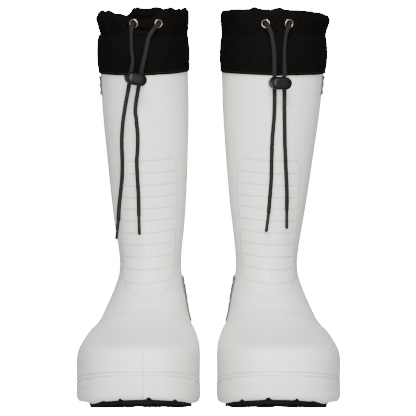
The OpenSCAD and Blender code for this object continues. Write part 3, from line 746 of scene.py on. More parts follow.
def make_cord(name):
    """A braided elastic cord tail with its hard tip. The outer one is stretched above the lock."""
    tail = TAILS[name]
    stretched = 0.25 if name.endswith("outer") else 0.0
    body = tail["side"] + "_boot"
    path, run = evenly(smooth_route(tail["route"], 12), 0.00042)
    sides = 32
    carriers = 4
    pitch = 0.0030
    raised = []

    def radius_at(i, angles):
        along = 2 * math.pi * run[i] / pitch
        lift = 0.5 + 0.5 * np.cos(carriers * angles + along) * np.cos(carriers * angles - along)
        ends = ease(np.minimum(run[i], run[-1] - run[i]) / 0.0012)
        thin = 1 - stretched * ease((path[i][2] - 0.346) / 0.012) * ease((0.392 - path[i][2]) / 0.012)
        raised.append(lift)
        return CORD_R * MM * thin * (0.86 + 0.12 * ends) * (1 + 0.045 * (lift - 0.5))

    rings = tube(path, radius_at, sides)
    cord = new_object(name, rings, closed_faces(len(rings), sides), CORD)
    # Stores how high each point sits on a strand, which the cord's colour uses to paint shade into the
    # hollows between strands.
    cord.data.attributes.new("braid_shade", "FLOAT", "POINT").data.foreach_set("value", np.ravel(raised))
    claim(cord, body, tail["nodes"][0])
    tip = make_tip(name + "_tip", tail["route"][-1], tail["tip"])
    claim(tip, body, tail["nodes"][1])


def make_tip(name, start, end):
    """A narrow crimped tip with a rounded end."""
    start, end = np.array(start), np.array(end)
    length = np.linalg.norm(end - start)
    stations = [(-1.2, 0.8), (-1.0, 1.55), (-0.4, 1.74), (0, TIP_R)]
    stations += [(0.6 + 0.5 * k, TIP_R - (0.07 if k % 4 == 2 else 0)) for k in range(12)]
    straight = length / MM - TIP_R
    stations += [(straight * 0.6, TIP_R), (straight, TIP_R)]
    stations += [(straight + TIP_R * math.sin(a), TIP_R * math.cos(a)) for a in (0.3, 0.6, 0.9, 1.2, 1.42)]
    direction = (end - start) / length
    path = np.array([start + direction * s * MM for s, _ in stations])
    sides = 28
    rings = tube(path, lambda i, angles: stations[i][1] * MM, sides)
    return new_object(name, rings, closed_faces(len(rings), sides), TIP_PLASTIC)


for cord_name in TAILS:
    make_cord(cord_name)


# ---- the foam shell

# Heights of the grooves across the shaft's front panel.
RIBS = [254, 241, 228.5, 216.3, 204.2, 191.6, 179.2, 166.8, 154.3, 141.8, 128.8]
PANEL_TOP = 264
PANEL_BOTTOM = 117.5
ARCH_TOP = 311
# Lines round the foam above the sole: height, depth and width.
FOXING = [(35, 0.55, 0.75), (31.6, 0.5, 0.75), (21, 0.14, 0.8)]


def groove_shape(distance, width):
    return np.exp(-(distance / width)**2)


def shell_heights():
    """Heights of the shell's rows, crowded where it has grooves."""
    heights = set(np.arange(FOAM_BOTTOM, SHAFT_TOP, 3.0))
    for z in RIBS:
        heights |= {z + step for step in np.arange(-2.4, 2.5, 0.48)}
    for z, _, _ in FOXING:
        heights |= {z + step for step in (-1.3, -0.8, -0.4, 0, 0.4, 0.8, 1.3)}
    heights |= {z + step for z in RIBS for step in (-3, 3)}
    heights |= set(np.arange(74, 127, 0.8)) | set(np.arange(256, 267, 0.8)) | set(np.arange(296, 314, 1.0))
    heights |= {7.9, 8.6, 9.6, 12.2, 14, 16, 18, 350.5, 351.4, SHAFT_TOP}
    kept = []
    for z in sorted(heights):
        if not kept or z - kept[-1] > 0.3:
            kept.append(z)
    kept[-1] = SHAFT_TOP
    return np.array(kept)


def arch_edge(rel, z, half, low, top, corner_low, corner_top):
    """Signed distance outside a tall panel with rounded ends, in millimetres: negative inside."""
    up = np.maximum(0, z - (top - corner_top)) / corner_top
    down = np.maximum(0, (low + corner_low) - z) / corner_low
    end = np.maximum(up, down)
    corner = np.where(up > down, corner_top, corner_low)
    side = np.abs(rel) / half
    reach = np.maximum((end**2.6 + side**2.6)**(1 / 2.6), 1e-6)
    slope = np.hypot((end / reach)**1.6 / corner, (side / reach)**1.6 / half)
    return (reach - 1) / np.maximum(slope, 0.02)


def shell_relief(boot, z, turn, point):
    """How far the skin stands out over the smooth shell, and how much painted shade darkens the colour at a
    point, in grooves and along edges.
    """
    out = point[..., 0]
    front = np.cos(np.radians(turn - 180)) > 0
    row = rows_at(SHELL_ROWS, z)
    rel = out - row[..., 4] + np.interp(z, [142, 228], [-1.3, 1.7])
    half = np.interp(z, [142, 228, 264], [boot["panel"][0], boot["panel"][1], boot["panel"][1]])
    tilted = z + 1.5 * np.clip(rel / half, -1, 1)
    lift = np.zeros(np.shape(z))
    # The second value is painted shade: how far the foam's colour is darkened in the ribs, panel and cap
    # edges, foxing lines and parting line.
    painted_groove_shade = np.zeros(np.shape(z))
    inside = 1 - ease((np.abs(rel) - (half - 2)) / 3)
    for rib in RIBS:
        line = groove_shape(tilted - rib, 0.75) * inside * front
        lift -= 0.75 * line
        painted_groove_shade = np.maximum(painted_groove_shade, 0.55 * line)
    edge = arch_edge(rel, z, half + 1, PANEL_BOTTOM, PANEL_TOP, 20, 24)
    lift += np.where(front, 0.45 * ease(0.5 - edge / 2.0), 0)
    painted_groove_shade = np.maximum(painted_groove_shade, np.where(front, 0.3 * groove_shape(edge - 0.5, 0.8), 0))
    wide = arch_edge(rel, z, boot["panel"][1] + 6, 150, ARCH_TOP, 60, 30)
    lift += np.where(front, 0.5 * ease(0.5 - wide / 3) * ease((z - 240) / 60), 0)
    apart = np.abs(turn - 180)
    cap_line = 104 - 4 * ease(apart / 45) - 17 * ease((apart - 30) / 60)
    below = 0.85 * ease((cap_line - z) / (1.8 + apart / 30)) * ease((z - 40) / 30)
    lift += below * (1 - ease((apart - 85) / 30))
    painted_groove_shade = np.maximum(painted_groove_shade, 0.3 * groove_shape(z - cap_line - 0.6, 0.8) * (apart < 100))
    for height, depth, width in FOXING:
        fall = (2.6 + (35 - height) * 0.25) * ease((apart - 20) / 55) * (height > 30)
        line = groove_shape(z - height + fall, width)
        lift -= depth * line
        painted_groove_shade = np.maximum(painted_groove_shade, depth * line)
    lift += 0.25 * ease((34 - z) / 1.5)
    parting = boot["parting"][0] + (boot["parting"][1] - boot["parting"][0]) * ease((z - 60) / 50)
    seam = groove_shape(out - parting, 0.65) * front
    low = ease((62 - z) / 12)
    lift += seam * (0.10 - 0.42 * low)
    painted_groove_shade = np.maximum(painted_groove_shade, seam * (0.2 + 0.3 * low))
    return lift, painted_groove_shade


def toe_arch(points):
    """How far the sole arches at the toe, up in the middle and down at both sides."""
    apart = np.abs(points[..., 0] - 1)
    across = np.maximum(0, 1 - (apart / 50)**2)
    arched = (2.8 * across - 1.9) * ease((62 - apart) / 14)
    return arched * ease((-points[..., 1] - 95) / 60)


def make_shell(side):
    """The moulded foam shell, shaft and foot in one, with its ribs, toe cap and foxing."""
    boot = BOOTS[side]
    spread = boot["spread"]
    columns = 320
    turns = turn_columns(columns, 34)
    heights = shell_heights()
    z, turn = np.meshgrid(heights, turns, indexing="ij")
    skin = skin_point(SHELL_ROWS, z, turn, spread)
    lift, painted_groove_shade = shell_relief(boot, z, turn, skin)
    lift += 0.12 * ring_noise(turn + 0.7 * z, boot["seed"], 6, 2, 9)
    outer = skin + lift[..., None] * skin_normal(SHELL_ROWS, z, turn, spread)
    outer[..., 2] += toe_arch(outer) * (1 - ease((z - 9) / 16))
    rim = [inset(SHELL_ROWS, SHAFT_TOP, turns, spread, depth) + [0, 0, rise]
           for depth, rise in ((0.5, 0.6), (1.6, 0.9), (3.9, 0.9), (5.0, 0.6))]
    inner_heights = np.concatenate([[SHAFT_TOP - 0.4], np.arange(344, 40, -12), [36, 31, FLOOR_Z]])
    zi, ti = np.meshgrid(inner_heights, turns, indexing="ij")
    inner = inset(SHELL_ROWS, zi, ti, spread, wall_at(zi))
    points = np.concatenate([outer, rim, inner])
    rows = len(points)
    shell = new_object(side + "_shell_moulding", place(boot, points), closed_faces(rows, columns), FOAM)
    # This attribute carries painted shade, which darkens the foam's colour in its grooves and along edges.
    value = np.zeros(rows * columns)
    value[:painted_groove_shade.size] = painted_groove_shade.ravel()
    shell.data.attributes.new("groove_shade", "FLOAT", "POINT").data.foreach_set("value", value)
    shade_by_angle(shell, 50)
    claim(shell, side + "_boot", side + "_shell")


# ---- the outsole

def tread_outline(turns, grow):
    """The rubber plate's outline, drawn in from the foam's edge and grown, as (out, -ahead)."""
    edge = skin_point(SHELL_ROWS, 20, turns, 0)[..., :2]
    level = unit(skin_normal(SHELL_ROWS, 20, turns, 0)[..., :2])
    return edge - (TREAD_INSET - grow)[..., None] * level


def tread_span(ahead):
    """Half width and middle of the plate at a distance ahead of the leg axis."""
    row = rows_at(SHELL_ROWS, 20)
    share = (ahead - row[1]) / (row[2] - row[1])
    full = float(fullness(row, np.array(share)))
    return full * row[3] - TREAD_INSET, full * row[5] * float(ease(share / 0.66))


def lug_mesh(x, ahead, width, length, twist):
    """Vertices of one lug with drafted, rounded sides, and its faces."""
    foot = FOAM_BOTTOM - TREAD_PLATE / 2
    slope = math.atan((sole_spring(ahead + 4) - sole_spring(ahead - 4)) / 8)
    lift = max(float(sole_spring(np.array(ahead))), (length / 2 + 2) * abs(math.sin(slope)))
    move = (Matrix.Translation((x, -ahead, lift)) @ Matrix.Rotation(-slope, 4, "X")
            @ Matrix.Rotation(math.radians(twist), 4, "Z"))
    rings = []
    corner = 1.6
    short = 1.5 * float(ease((ahead - 80) / 40))
    for height, draw in ((foot, -0.2), (1.6 + short, 0.0), (0.35 + short, 0.25), (short, 0.7)):
        w, l = width / 2 - draw, length / 2 - draw
        for cx, cy, start in ((w, l, 0), (-w, l, 90), (-w, -l, 180), (w, -l, 270)):
            for k in range(4):
                a = math.radians(start + 30 * k)
                sx, sy = math.copysign(w - corner, cx), math.copysign(l - corner, cy)
                rings.append(move @ Vector((sx + corner * math.cos(a), sy + corner * math.sin(a), height)))
    return np.array(rings), closed_faces(4, 16)


def make_outsole(side):
    """The rubber outsole: a plate with a ribbed edge, and lugs below it."""
    boot = BOOTS[side]
    columns = 480
    turns = turn_columns(columns, 24)
    ribbed = 0.35 * np.cos(np.arange(columns) * math.pi / 2)
    vertices = []
    levels = ((FOAM_BOTTOM - TREAD_PLATE, -0.6, 0), (FOAM_BOTTOM - TREAD_PLATE + 0.4, 0, 1),
              (FOAM_BOTTOM - 0.7, 0, 1), (FOAM_BOTTOM - 0.3, -0.3, 0))
    for z, grow, rib in levels:
        flat = tread_outline(turns, grow + rib * ribbed)
        height = z + sole_spring(-flat[..., 1]) + toe_arch(flat)
        vertices += [tuple(v) for v in np.column_stack([flat, height])]
    faces = closed_faces(len(levels), columns)
    lugs = []
    for ahead in [-66 + k * LUG_PITCH for k in range(4)] + [44 + k * LUG_PITCH for k in range(9)]:
        half, middle = tread_span(ahead)
        length = LUG_PITCH * 0.62
        for way in (-1, 1):
            lugs.append((middle + way * (half - 9), ahead, 15, length, way * 12))
            if half > 30:
                lugs.append((middle + way * half * 0.27, ahead + 3, half * 0.36, length, -way * 16))
    lugs.append((tread_span(188)[1], 183.5, 22, 9, 0))
    for lug in lugs:
        points, lug_faces = lug_mesh(*lug)
        points[:, 2] += np.maximum(0, toe_arch(points))
        add_part(vertices, faces, points, lug_faces)
    sole = new_object(side + "_tread", place(boot, vertices), faces, RUBBER)
    shade_by_angle(sole, 40)
    claim(sole, side + "_boot", side + "_outsole")


def make_toe_teeth(side):
    """A toothed rubber strip along the foam's lower edge, round the toe."""
    boot = BOOTS[side]
    fine = np.linspace(120, 240, 1600)
    run = run_along(skin_point(SHELL_ROWS, 8, fine, 0))
    where = np.arange(0, run[-1], 0.48)
    turns = np.interp(where, run, fine)
    base = skin_point(SHELL_ROWS, 8, turns, 0)
    keep = (base[:, 0] > -45) & (base[:, 0] < 51) & (base[:, 1] < -85)
    turns, base, where = turns[keep], base[keep], where[keep]
    tooth = np.abs((where / 1.95) % 1 - 0.5) * 2
    peaks = sum(groove_shape(base[:, 0] - x, w) * h for x, w, h in
                ((23.2, 1.7, 1.9), (-4, 2.4, 2.4), (-28.7, 1.7, 1.9), (40, 2.4, 0.7)))
    ends = ease(np.minimum(base[:, 0] + 45, 51 - base[:, 0]) / 8)
    top = FOAM_BOTTOM + (0.2 + 1.1 * tooth + peaks) * ends
    middle = (FOAM_BOTTOM + top) / 2
    n = unit(skin_normal(SHELL_ROWS, 12, turns, 0) * [1, 1, 0])
    under = base + 0.4 * n
    under[:, 2] = FOAM_BOTTOM - 3.6 + sole_spring(-base[:, 1])
    behind = base - 2.4 * n
    behind[:, 2] = under[:, 2]
    rings = [behind, under, inset(SHELL_ROWS, FOAM_BOTTOM + 0.2, turns, 0, -0.6),
             inset(SHELL_ROWS, middle, turns, 0, -0.6), inset(SHELL_ROWS, top, turns, 0, -0.5),
             inset(SHELL_ROWS, top, turns, 0, 1.2), behind + [0, 0, 4]]
    rings = [ring + np.column_stack([np.zeros((len(ring), 2)), toe_arch(ring)]) for ring in rings]
    points = np.array(rings).transpose(1, 0, 2)
    faces = closed_faces(len(points), len(rings))
    teeth = new_object(side + "_toe_teeth", place(boot, points), faces, RUBBER, smooth=False)
    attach(teeth, side + "_boot")


# ---- insole and liner

def make_insole(side):
    """A soft insole with a raised rim, stitched channels and a crowned arch."""
    boot = BOOTS[side]
    columns = 160
    turns = turn_columns(columns, 10)
    outline = inset(SHELL_ROWS, FLOOR_Z + 0.3, turns, 0, FOOT_WALL + 0.6)
    middle = outline.mean(0)
    shares = [1.0, 0.97, 0.93, 0.86, 0.78, 0.7, 0.6, 0.5, 0.4, 0.3, 0.2, 0.1, 0.03]
    rings = []
    for share in [0.03, 0.4, 0.8, 0.985]:
        ring = middle + (outline - middle) * share
        ring[:, 2] = FLOOR_Z + 0.4 + sole_spring(-ring[:, 1])
        rings.append(ring)
    for share in shares:
        ring = middle + (outline - middle) * (share * 0.985)
        crown = INSOLE_T - 0.3 - 2.2 * (1 - share)**0.5 * 0.4
        rounded = -1.8 * ease((share - 0.93) / 0.07)
        channel = -0.7 * (groove_shape(np.mod(ring[:, 1] + 400, 18) - 9, 1.1))
        ring[:, 2] = FLOOR_Z + crown + rounded + channel * (share < 0.9) + sole_spring(-ring[:, 1])
        rings.append(ring)
    faces = closed_faces(len(rings), columns)
    pad = new_object(side + "_insole_pad", place(boot, np.array(rings)), faces, INSOLE_PILE)
    claim(pad, side + "_boot", side + "_insole")


def make_liner(side):
    """The removable warm liner: a soft sock with a rolled top edge and quilted rings."""
    boot = BOOTS[side]
    spread = boot["spread"]
    columns = 160
    turns = turn_columns(columns, 10)
    bottom = FLOOR_Z + INSOLE_T + 0.6
    top = SHAFT_TOP - 2
    outside = np.concatenate([[bottom], np.arange(bottom + 7, top - 1, 4.0), [top]])
    inside = np.arange(top, bottom + LINER_T + 4, -3.0)

    def ring(z, depth):
        return inset(SHELL_ROWS, z, turns, spread, depth)

    rings = [ring(z, wall_at(z) + 0.6) for z in outside]
    rings += [ring(top, wall_at(top) + 0.6 + d) + [0, 0, r] for d, r in ((0.9, 0.9), (2, 1.3), (3.1, 0.9))]
    for z in inside:
        quilt = 0.7 * math.cos(2 * math.pi * z / 26)**2 + 0.35 * ring_noise(turns + z, 5, 5, 3, 12)
        rings.append(ring(z, wall_at(z) + 0.6 + LINER_T - 0.8 + quilt))
    rings.append(ring(bottom + LINER_T, wall_at(bottom) + 0.6 + LINER_T))
    faces = closed_faces(len(rings), columns)
    liner = new_object(side + "_liner_sock", place(boot, np.array(rings)), faces, LINER_PILE)
    claim(liner, side + "_boot", side + "_liner")


# ---- the fabric collar

def band_shift(boot, z, turn):
    """How far the band's cloth stands out or dips in, in millimetres."""
    seed = boot["seed"]
    puff = 0.5 * np.sin(math.pi * np.clip((z - HEM_Z) / (CUFF_Z - HEM_Z), 0, 1))
    wave = 0.55 * ring_noise(turn + 0.5 * (z - HEM_Z), seed, 7, 4, 19)
    wave += 0.4 * ring_noise(turn - 0.9 * (z - HEM_Z), seed + 1, 6, 6, 26)
    hem = 0.2 * groove_shape(z - HEM_Z - 0.8, 1.0)
    seam = -0.4 * groove_shape(z - HEM_Z - 2.0, 0.6)
    dent = sum(near_line(turn, z, line) for line in boot["dents"] + SHARED_DENTS)
    return puff + wave * ease((z - HEM_Z) / 10) + hem + seam - dent


def hem_rise(boot, z, turn):
    """How far the band's cloth rides up near its hem, which doesn't hang quite level."""
    level = through_points(boot["hem"], turn) + 0.3 * ring_noise(turn, boot["seed"] + 3, 5, 3, 12)
    return level * (1 - ease((z - HEM_Z) / 26))


def make_band(side):
    """The collar's lower band: doubled cloth with soft wrinkles and a stitched hem."""
    boot = BOOTS[side]
    columns = 360
    turns = turn_columns(columns, 10)
    heights = np.concatenate([np.arange(HEM_Z, HEM_Z + 7, 0.5), np.arange(HEM_Z + 7, CUFF_Z - 3, 1.1),
                              np.arange(CUFF_Z - 2.6, CUFF_Z, 0.5)])
    section = [(z, 0.0) for z in heights] + [(CUFF_Z + 0.1, 0.7)]
    section += [(z, FABRIC_T) for z in heights[::-3]] + [(HEM_Z - 0.35, 0.7)]
    rings = []
    for z, depth in section:
        shift = np.maximum(band_shift(boot, z, turns), -1.0)
        ring = inset(COLLAR_ROWS, z, turns, boot["spread"], depth - shift)
        ring[:, 2] += hem_rise(boot, z, turns)
        rings.append(ring)
    points = np.array(rings)
    faces = grid_faces(len(points), columns, closed_rows=True)
    band = new_object(side + "_collar_band_cloth", place(boot, points), faces, COLLAR_CLOTH,
                      uv=grid_uv(points))
    claim(band, side + "_boot", side + "_collar_band")
    stitches = make_stitches(side, side + "_hem_stitches", HEM_Z + 1.9, 2.9, 1.4, HEM_THREAD)
    ring = points[10]
    girth = float(run_along(np.concatenate([ring, ring[:1]]))[-1]) * MM


def cuff_shift(boot, z, turn):
    """How far the cuff's outer cloth stands out or dips in: gathers, folds and puckers."""
    seed = boot["seed"]
    rise = ease((z - CUFF_Z) / 14)
    wave = 0.6 * ring_noise(turn, seed + 5, 8, 8, 34)
    wave = wave + 0.5 * ring_noise(turn + 0.8 * (z - CUFF_Z), seed + 6, 6, 5, 17)
    fold = sum(near_line(turn, z, line) for line in boot["folds"] + SHARED_FOLDS)
    pucker = 0
    for eyelet in boot["eyelets"]:
        apart = np.hypot((turn - eyelet) * math.radians(1) * COLLAR_R, z - EYELET_Z)
        pucker = pucker + 0.5 * groove_shape(apart - 6.2, 1.2)
        wave = wave * (1 - groove_shape(apart, 6.5))
        fold = fold * (1 - groove_shape(apart, 5.2))
    return wave * rise - fold - pucker


# The cuff's cloth in section, outside first, then over the rim and down the inside and back:
# height, depth behind the collar's skin, and how much of the folds shows there.
CUFF_SECTION = [
    (382.3, 0, 1), (384, 0, 1), (386.5, 0, 1), (389, 0, 1), (392, 0, 1), (395, 0, 1), (398, 0, 1),
    (401, 0.05, 1), (403.6, 0.25, 1), (405.8, 0.8, 0.9), (407.5, 1.8, 0.8), (408.4, 3.1, 0.6),
    (408.5, 4.6, 0.5), (407.6, 6, 0.4), (405.6, 7.2, 0.3), (402.5, 7.9, 0.25), (398, 8, 0.2),
    (393, 7.5, 0.2), (388, 6.3, 0.1), (383, 4.8, 0), (378, 3.6, 0), (376.5, 3.1, 0), (376.5, 2.5, 0),
    (378, 2.6, 0), (383, 3.8, 0), (388, 5.2, 0.1), (394, 6.6, 0.2), (400, 6.9, 0.25), (404.4, 6.2, 0.4),
    (406.6, 4.7, 0.5), (406.8, 3.4, 0.6), (405.6, 2.2, 0.8), (402.5, 1.5, 1), (398, 1.25, 1), (393, 1.2, 1),
    (388, 1.2, 1), (384, 1.2, 1), (382.3, 1.0, 1),
]


def make_cuff(side):
    """The gathered cuff: outer cloth, rolled rim and inner cloth round the drawcord's tunnel."""
    boot = BOOTS[side]
    columns = 420
    turns = turn_columns(columns, 12)
    fine = smooth_route(CUFF_SECTION + CUFF_SECTION[:1], 2)[:-1]
    rim = through_points(boot["rim"], turns) + 0.5 * ring_noise(turns, boot["seed"] + 9, 7, 12, 40)
    rings = []
    for z, depth, weight in fine:
        lift = rim * ease((z - 390) / 17) * (1.0 if weight > 0.15 else 0.6)
        shift = cuff_shift(boot, z, turns) * weight
        ring = inset(COLLAR_ROWS, z, turns, boot["spread"], depth - shift)
        ring[:, 2] += lift
        rings.append(ring)
    points = np.array(rings)
    faces = grid_faces(len(points), columns, closed_rows=True)
    cuff = new_object(side + "_collar_cuff_cloth", place(boot, points), faces, COLLAR_CLOTH,
                      uv=grid_uv(points))
    cut(cuff, [eyelet_cutter(boot, turn) for turn in boot["eyelets"]])
    claim(cuff, side + "_boot", side + "_collar_cuff")
    stitches = make_stitches(side, side + "_cuff_stitches", CUFF_Z - 1.9, 2.6, 1.7, SEAM_THREAD)


def make_stitches(side, name, z, pitch, length, thread):
    """A row of short stitches round the band, each a small rounded stroke."""
    boot = BOOTS[side]
    fine = np.linspace(0, 360, 2000)
    run = run_along(skin_point(COLLAR_ROWS, z, fine, boot["spread"]))
    count = round(run[-1] / pitch)
    up = np.array([0, 0, 1.0])
    vertices, faces = [], []
    for k in range(count):
        centre = run[-1] * (k + 0.5) / count
        along = np.array([-0.5, -0.3, 0, 0.3, 0.5]) * length + centre
        turns = np.interp(along, run, fine)
        sunk = np.array([0.5, 0.05, -0.12, 0.05, 0.5]) * STITCH_R * 2
        shift = np.maximum(band_shift(boot, z, turns), -1.0)
        path = inset(COLLAR_ROWS, z, turns, boot["spread"], sunk - shift)
        path[:, 2] += hem_rise(boot, z, turns)
        rings = []
        sizes = np.array([0.5, 0.95, 1, 0.95, 0.5]) * STITCH_R
        for p, d, r in zip(path, unit(np.gradient(path, axis=0)), sizes):
            b = unit(np.cross(d, up))
            rings += [p + r * (math.cos(a) * up + math.sin(a) * b) for a in np.arange(6) * math.pi / 3]
        add_part(vertices, faces, rings, closed_faces(5, 6))
    stitches = new_object(name, place(boot, vertices), faces, thread)
    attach(stitches, side + "_boot")
    return stitches


# ---- eyelets

def eyelet_frame(boot, turn):
    """A matrix whose +Z is the outward direction at an eyelet, in metres in the pair's frame."""
    centre = place(boot, skin_point(COLLAR_ROWS, EYELET_Z, turn, boot["spread"]))
    n = skin_normal(COLLAR_ROWS, EYELET_Z, turn, boot["spread"])
    outward = Vector((boot["sign"] * n[0], n[1], n[2]))
    turned = outward.to_track_quat("Z", "Y").to_matrix().to_4x4()
    return Matrix.Translation(Vector(centre)) @ turned


def lathe(profile, sides):
    """Points and faces of a closed ring turned from a profile of (radius, height), in millimetres."""
    angles = np.arange(sides) * 2 * math.pi / sides
    points = [(r * math.cos(a) * MM, r * math.sin(a) * MM, h * MM) for r, h in profile for a in angles]
    return points, grid_faces(len(profile), sides, closed_rows=True)


def eyelet_cutter(boot, turn):
    sides = 40
    radius = EYELET_HOLE_R + 0.5
    points, _ = lathe([(radius, -2.6), (radius, 3)], sides)
    cutter = new_object("cutter", points, closed_faces(2, sides), COLLAR_CLOTH)
    cutter.matrix_world = eyelet_frame(boot, turn)
    return cutter


def make_eyelets(side):
    """Two rolled metal eyelets."""
    boot = BOOTS[side]
    r, hole = EYELET_R, EYELET_HOLE_R
    roll = 0.95
    arc = [(hole + roll + roll * math.cos(a), 0.35 + roll * math.sin(a))
           for a in np.linspace(math.pi, 0.25, 12)]
    profile = [(hole + 0.42, -1.9), (hole, -1.9), (hole, -0.6)] + arc
    profile += [(r - 0.04, 0.34), (r, 0.12), (r - 0.2, 0), (hole + 0.5, 0), (hole + 0.42, -0.5)]
    vertices, faces = [], []
    for turn in boot["eyelets"]:
        points, ring_faces = lathe(profile, 64)
        move = eyelet_frame(boot, turn)
        add_part(vertices, faces, [move @ Vector(p) for p in points], ring_faces)
    rings = new_object(side + "_eyelet_rings", vertices, faces, EYELET_METAL)
    shade_by_angle(rings, 40)
    claim(rings, side + "_boot", side + "_eyelets")


# ---- raised blocks on the foam

def raised_block(spread, z0, z1, turn0, turn1, proud, edge, relief=None):
    """A pillow-edged block that follows the skin: its points in the boot's frame, and its faces."""
    shares = np.array([0, 0, 0.04, 0.12, 0.3, 0.5, 0.7, 0.88, 0.96, 1, 1])
    n = len(shares)
    u, v = np.meshgrid(shares, shares, indexing="ij")
    z = z0 + (z1 - z0) * u
    turn = turn0 + (turn1 - turn0) * v
    width = abs(turn1 - turn0) * math.radians(1) * SHAFT_R
    near_edge = np.minimum.reduce([(z - z0), (z1 - z), (v * width), ((1 - v) * width)])
    border = np.zeros((n, n), bool)
    border[[0, -1], :] = True
    border[:, [0, -1]] = True
    height = proud * np.sqrt(1 - (1 - np.clip(near_edge / edge, 0, 1))**2)
    if relief is not None:
        height = height + relief(u, v)
    height = np.where(border, -0.6, np.maximum(height, 0.2))
    top = inset(SHELL_ROWS, z, turn, spread, -height)
    bottom = inset(SHELL_ROWS, z, turn, spread, 0.8)
    points = np.concatenate([top.reshape(-1, 3), bottom.reshape(-1, 3)])
    faces = grid_faces(n, n, closed_columns=False)
    faces += [tuple(n * n + i for i in reversed(f)) for f in faces]
    loop = list(range(n)) + [r * n + n - 1 for r in range(1, n)]
    loop += [(n - 1) * n + c for c in range(n - 2, -1, -1)] + [r * n for r in range(n - 2, 0, -1)]
    for a, b in zip(loop, loop[1:] + loop[:1]):
        faces.append((b, a, n * n + a, n * n + b))
    return points, faces


def join_blocks(boot, name, blocks, made_of):
    vertices, faces = [], []
    for points, block_faces in blocks:
        add_part(vertices, faces, points, block_faces)
    made = new_object(name, place(boot, vertices), faces, made_of)
    work = bmesh.new()
    work.from_mesh(made.data)
    bmesh.ops.remove_doubles(work, verts=work.verts, dist=1e-6)
    bmesh.ops.recalc_face_normals(work, faces=work.faces)
    work.to_mesh(made.data)
    work.free()
    shade_by_angle(made, 40)
    return made


def make_grip(side):
    """Five raised blocks on the inner side of the ankle, in a darker grey that is painted shade from
    between the boots.
    """
    boot = BOOTS[side]
    blocks = [raised_block(0, 86 + 8.5 * k, 93.6 + 8.5 * k, 256, 283, 1.8, 1.6) for k in range(5)]
    grip = join_blocks(boot, side + "_ankle_grip_blocks", blocks, SHADED_GRIP_FOAM)
    claim(grip, side + "_boot", side + "_ankle_grip")


def make_badge(side):
    """A raised plate on the outer side with three plain bars, in a darker grey that is painted shade from
    the boot's side.
    """
    boot = BOOTS[side]

    def bars(u, v):
        return -0.7 * sum(groove_shape(u - x, 0.06) for x in (0.3, 0.7)) * ((v > 0.1) & (v < 0.9))

    block = raised_block(boot["spread"], 319.5, HEM_Z - 2.5, 79, 108, 1.7, 1.2, bars)
    badge = join_blocks(boot, side + "_badge_plate", [block], SHADED_BADGE_FOAM)
    claim(badge, side + "_boot", side + "_side_badge")


# ---- cord locks

LOCK_W = 21
LOCK_H = 12.4
LOCK_BACK = 8.8
LOCK_FLOOR = 1.4
BARREL_DEPTH = 12.8
CORD_SPACING = 10.4
BORE_R = 2.65
STEM_W = 17.2
STEM_H = 8.6
PRESS = 3.6
LOCK_TURN = 12


def lock_frame(boot):
    """A matrix from the lock's frame, which is turned a little, to the pair's frame."""
    rolled = Matrix.Rotation(math.radians(boot["roll"]), 4, "Y")
    turned = Matrix.Rotation(math.radians(LOCK_TURN), 4, "Z")
    return Matrix.Translation(Vector(boot["lock"]) * MM) @ rolled @ turned


def moved(move, points):
    """Points of the lock's frame in millimetres, in the pair's frame in metres."""
    return [tuple(move @ (Vector(p) * MM)) for p in points]


def oval(width, height, depth, sides):
    """A ring of a flat-sided oval at a distance ahead of the lock's back face, in millimetres."""
    r = height / 2
    straight = (width - height) / 2
    ring = []
    for k in range(sides):
        a = 2 * math.pi * (k + 0.5) / sides
        x = math.copysign(straight, math.cos(a)) + r * math.cos(a)
        ring.append((x, LOCK_BACK - depth, r * math.sin(a)))
    return ring


def stepped(width, height, steps):
    """Sections of an oval drawn in by each step's first number, at its second number's depth."""
    return [(width - drawn, height - drawn, depth) for drawn, depth in steps]


def oval_solid(name, sections, move, made_of):
    """A closed solid lofted through (width, height, depth) sections."""
    sides = 72
    points = [p for width, height, depth in sections for p in oval(width, height, depth, sides)]
    return new_object(name, moved(move, points), closed_faces(len(sections), sides), made_of)


def rod(move, x, y, radius, half_length, axis):
    """A round cutter at (x, y) of the lock's frame, along its Z or its Y axis."""
    sides = 40
    points = []
    for end in (-half_length, half_length):
        for k in range(sides):
            a = 2 * math.pi * k / sides
            c, s = radius * math.cos(a), radius * math.sin(a)
            local = (x + c, y + s, end) if axis == "Z" else (x + c, y + end, s)
            points.append(local)
    return new_object("cutter", moved(move, points), closed_faces(2, sides), LOCK_PLASTIC)


def box_cutter(move, low, high):
    corners = [(x, y, z) for z in (low[2], high[2]) for x, y in
               ((low[0], low[1]), (high[0], low[1]), (high[0], high[1]), (low[0], high[1]))]
    return new_object("cutter", moved(move, corners), closed_faces(2, 4), LOCK_PLASTIC)


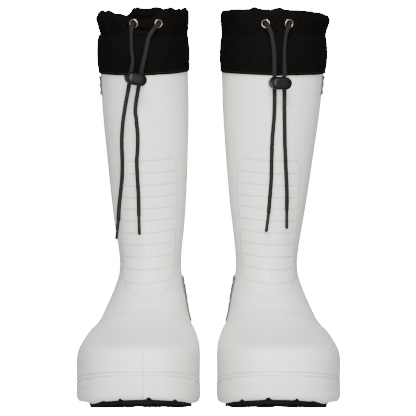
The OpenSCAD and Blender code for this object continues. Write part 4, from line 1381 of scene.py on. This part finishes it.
def make_barrel(side):
    """The lock's oval barrel, open at the front, with a bore for each cord."""
    move = lock_frame(BOOTS[side])
    outside = stepped(LOCK_W, LOCK_H, [(4.4, 0), (2.6, 0.12), (1.2, 0.5), (0.4, 1.2), (0, 2.2), (0, 6),
                                       (0, 11.6), (0.3, 12.4), (1.0, BARREL_DEPTH)])
    inside = stepped(STEM_W + 0.4, STEM_H + 0.4, [(-0.6, BARREL_DEPTH), (0, BARREL_DEPTH - 0.4), (0, 6),
                                                  (0, LOCK_FLOOR)])
    barrel = oval_solid(side + "_lock_barrel_shell", outside + inside, move, LOCK_PLASTIC)
    cut(barrel, [rod(move, way * CORD_SPACING / 2, 0, BORE_R, LOCK_H, "Z") for way in (-1, 1)])
    shade_by_angle(barrel, 32)
    claim(barrel, side + "_lock", side + "_lock_barrel")


def make_button(side):
    """The lock's button: a domed oval head with a raised lip, on a slotted stem."""
    move = lock_frame(BOOTS[side])
    bar_back = LOCK_FLOOR + 0.2 + PRESS
    bar_front = bar_back + 1.2
    slot_front = LOCK_BACK + CORD_R + PRESS + 0.2
    head = BARREL_DEPTH + 0.2 + PRESS
    stem = stepped(STEM_W, STEM_H, [(0.8, bar_back), (0, bar_back + 0.4), (0, 12), (0, head)])
    cap = [(1.2, 0), (0.3, 0.3), (0, 0.9), (0, 2.8), (0.15, 3.15), (0.5, 3.35), (0.9, 3.35), (1.2, 3.0),
           (1.4, 2.6), (1.8, 2.6), (2.3, 2.95), (3.8, 3.35), (6.4, 3.7), (9, 3.9), (11.4, 3.97)]
    face = stepped(LOCK_W, LOCK_H, [(drawn, head + proud) for drawn, proud in cap])
    button = oval_solid(side + "_lock_button_cap", stem + face, move, LOCK_PLASTIC)
    cutters = [box_cutter(move, (x - BORE_R, LOCK_BACK - slot_front, -LOCK_H),
                          (x + BORE_R, LOCK_BACK - bar_front, LOCK_H))
               for x in (-CORD_SPACING / 2, CORD_SPACING / 2)]
    reach = (slot_front - bar_back - 0.6) / 2
    cutters.append(rod(move, 0, LOCK_BACK - bar_back + 1 - reach, 1.9, reach, "Y"))
    cut(button, cutters)
    shade_by_angle(button, 32)
    claim(button, side + "_button", side + "_lock_button")


# ---- CAD nodes that stay

def dress_cad_nodes(side):
    """Better materials for the CAD nodes whose shape is right."""
    looks = {"_eyelet_washers": EYELET_METAL, "_lock_spring": SPRING_METAL, "_drawcord_run": CORD}
    for name, made in looks.items():
        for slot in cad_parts[side + name].material_slots:
            slot.material = made


for side in BOOTS:
    make_shell(side)
    make_outsole(side)
    make_toe_teeth(side)
    make_insole(side)
    make_liner(side)
    make_band(side)
    make_cuff(side)
    make_eyelets(side)
    make_grip(side)
    make_badge(side)
    make_barrel(side)
    make_button(side)
    dress_cad_nodes(side)

make_studio()
make_floor()
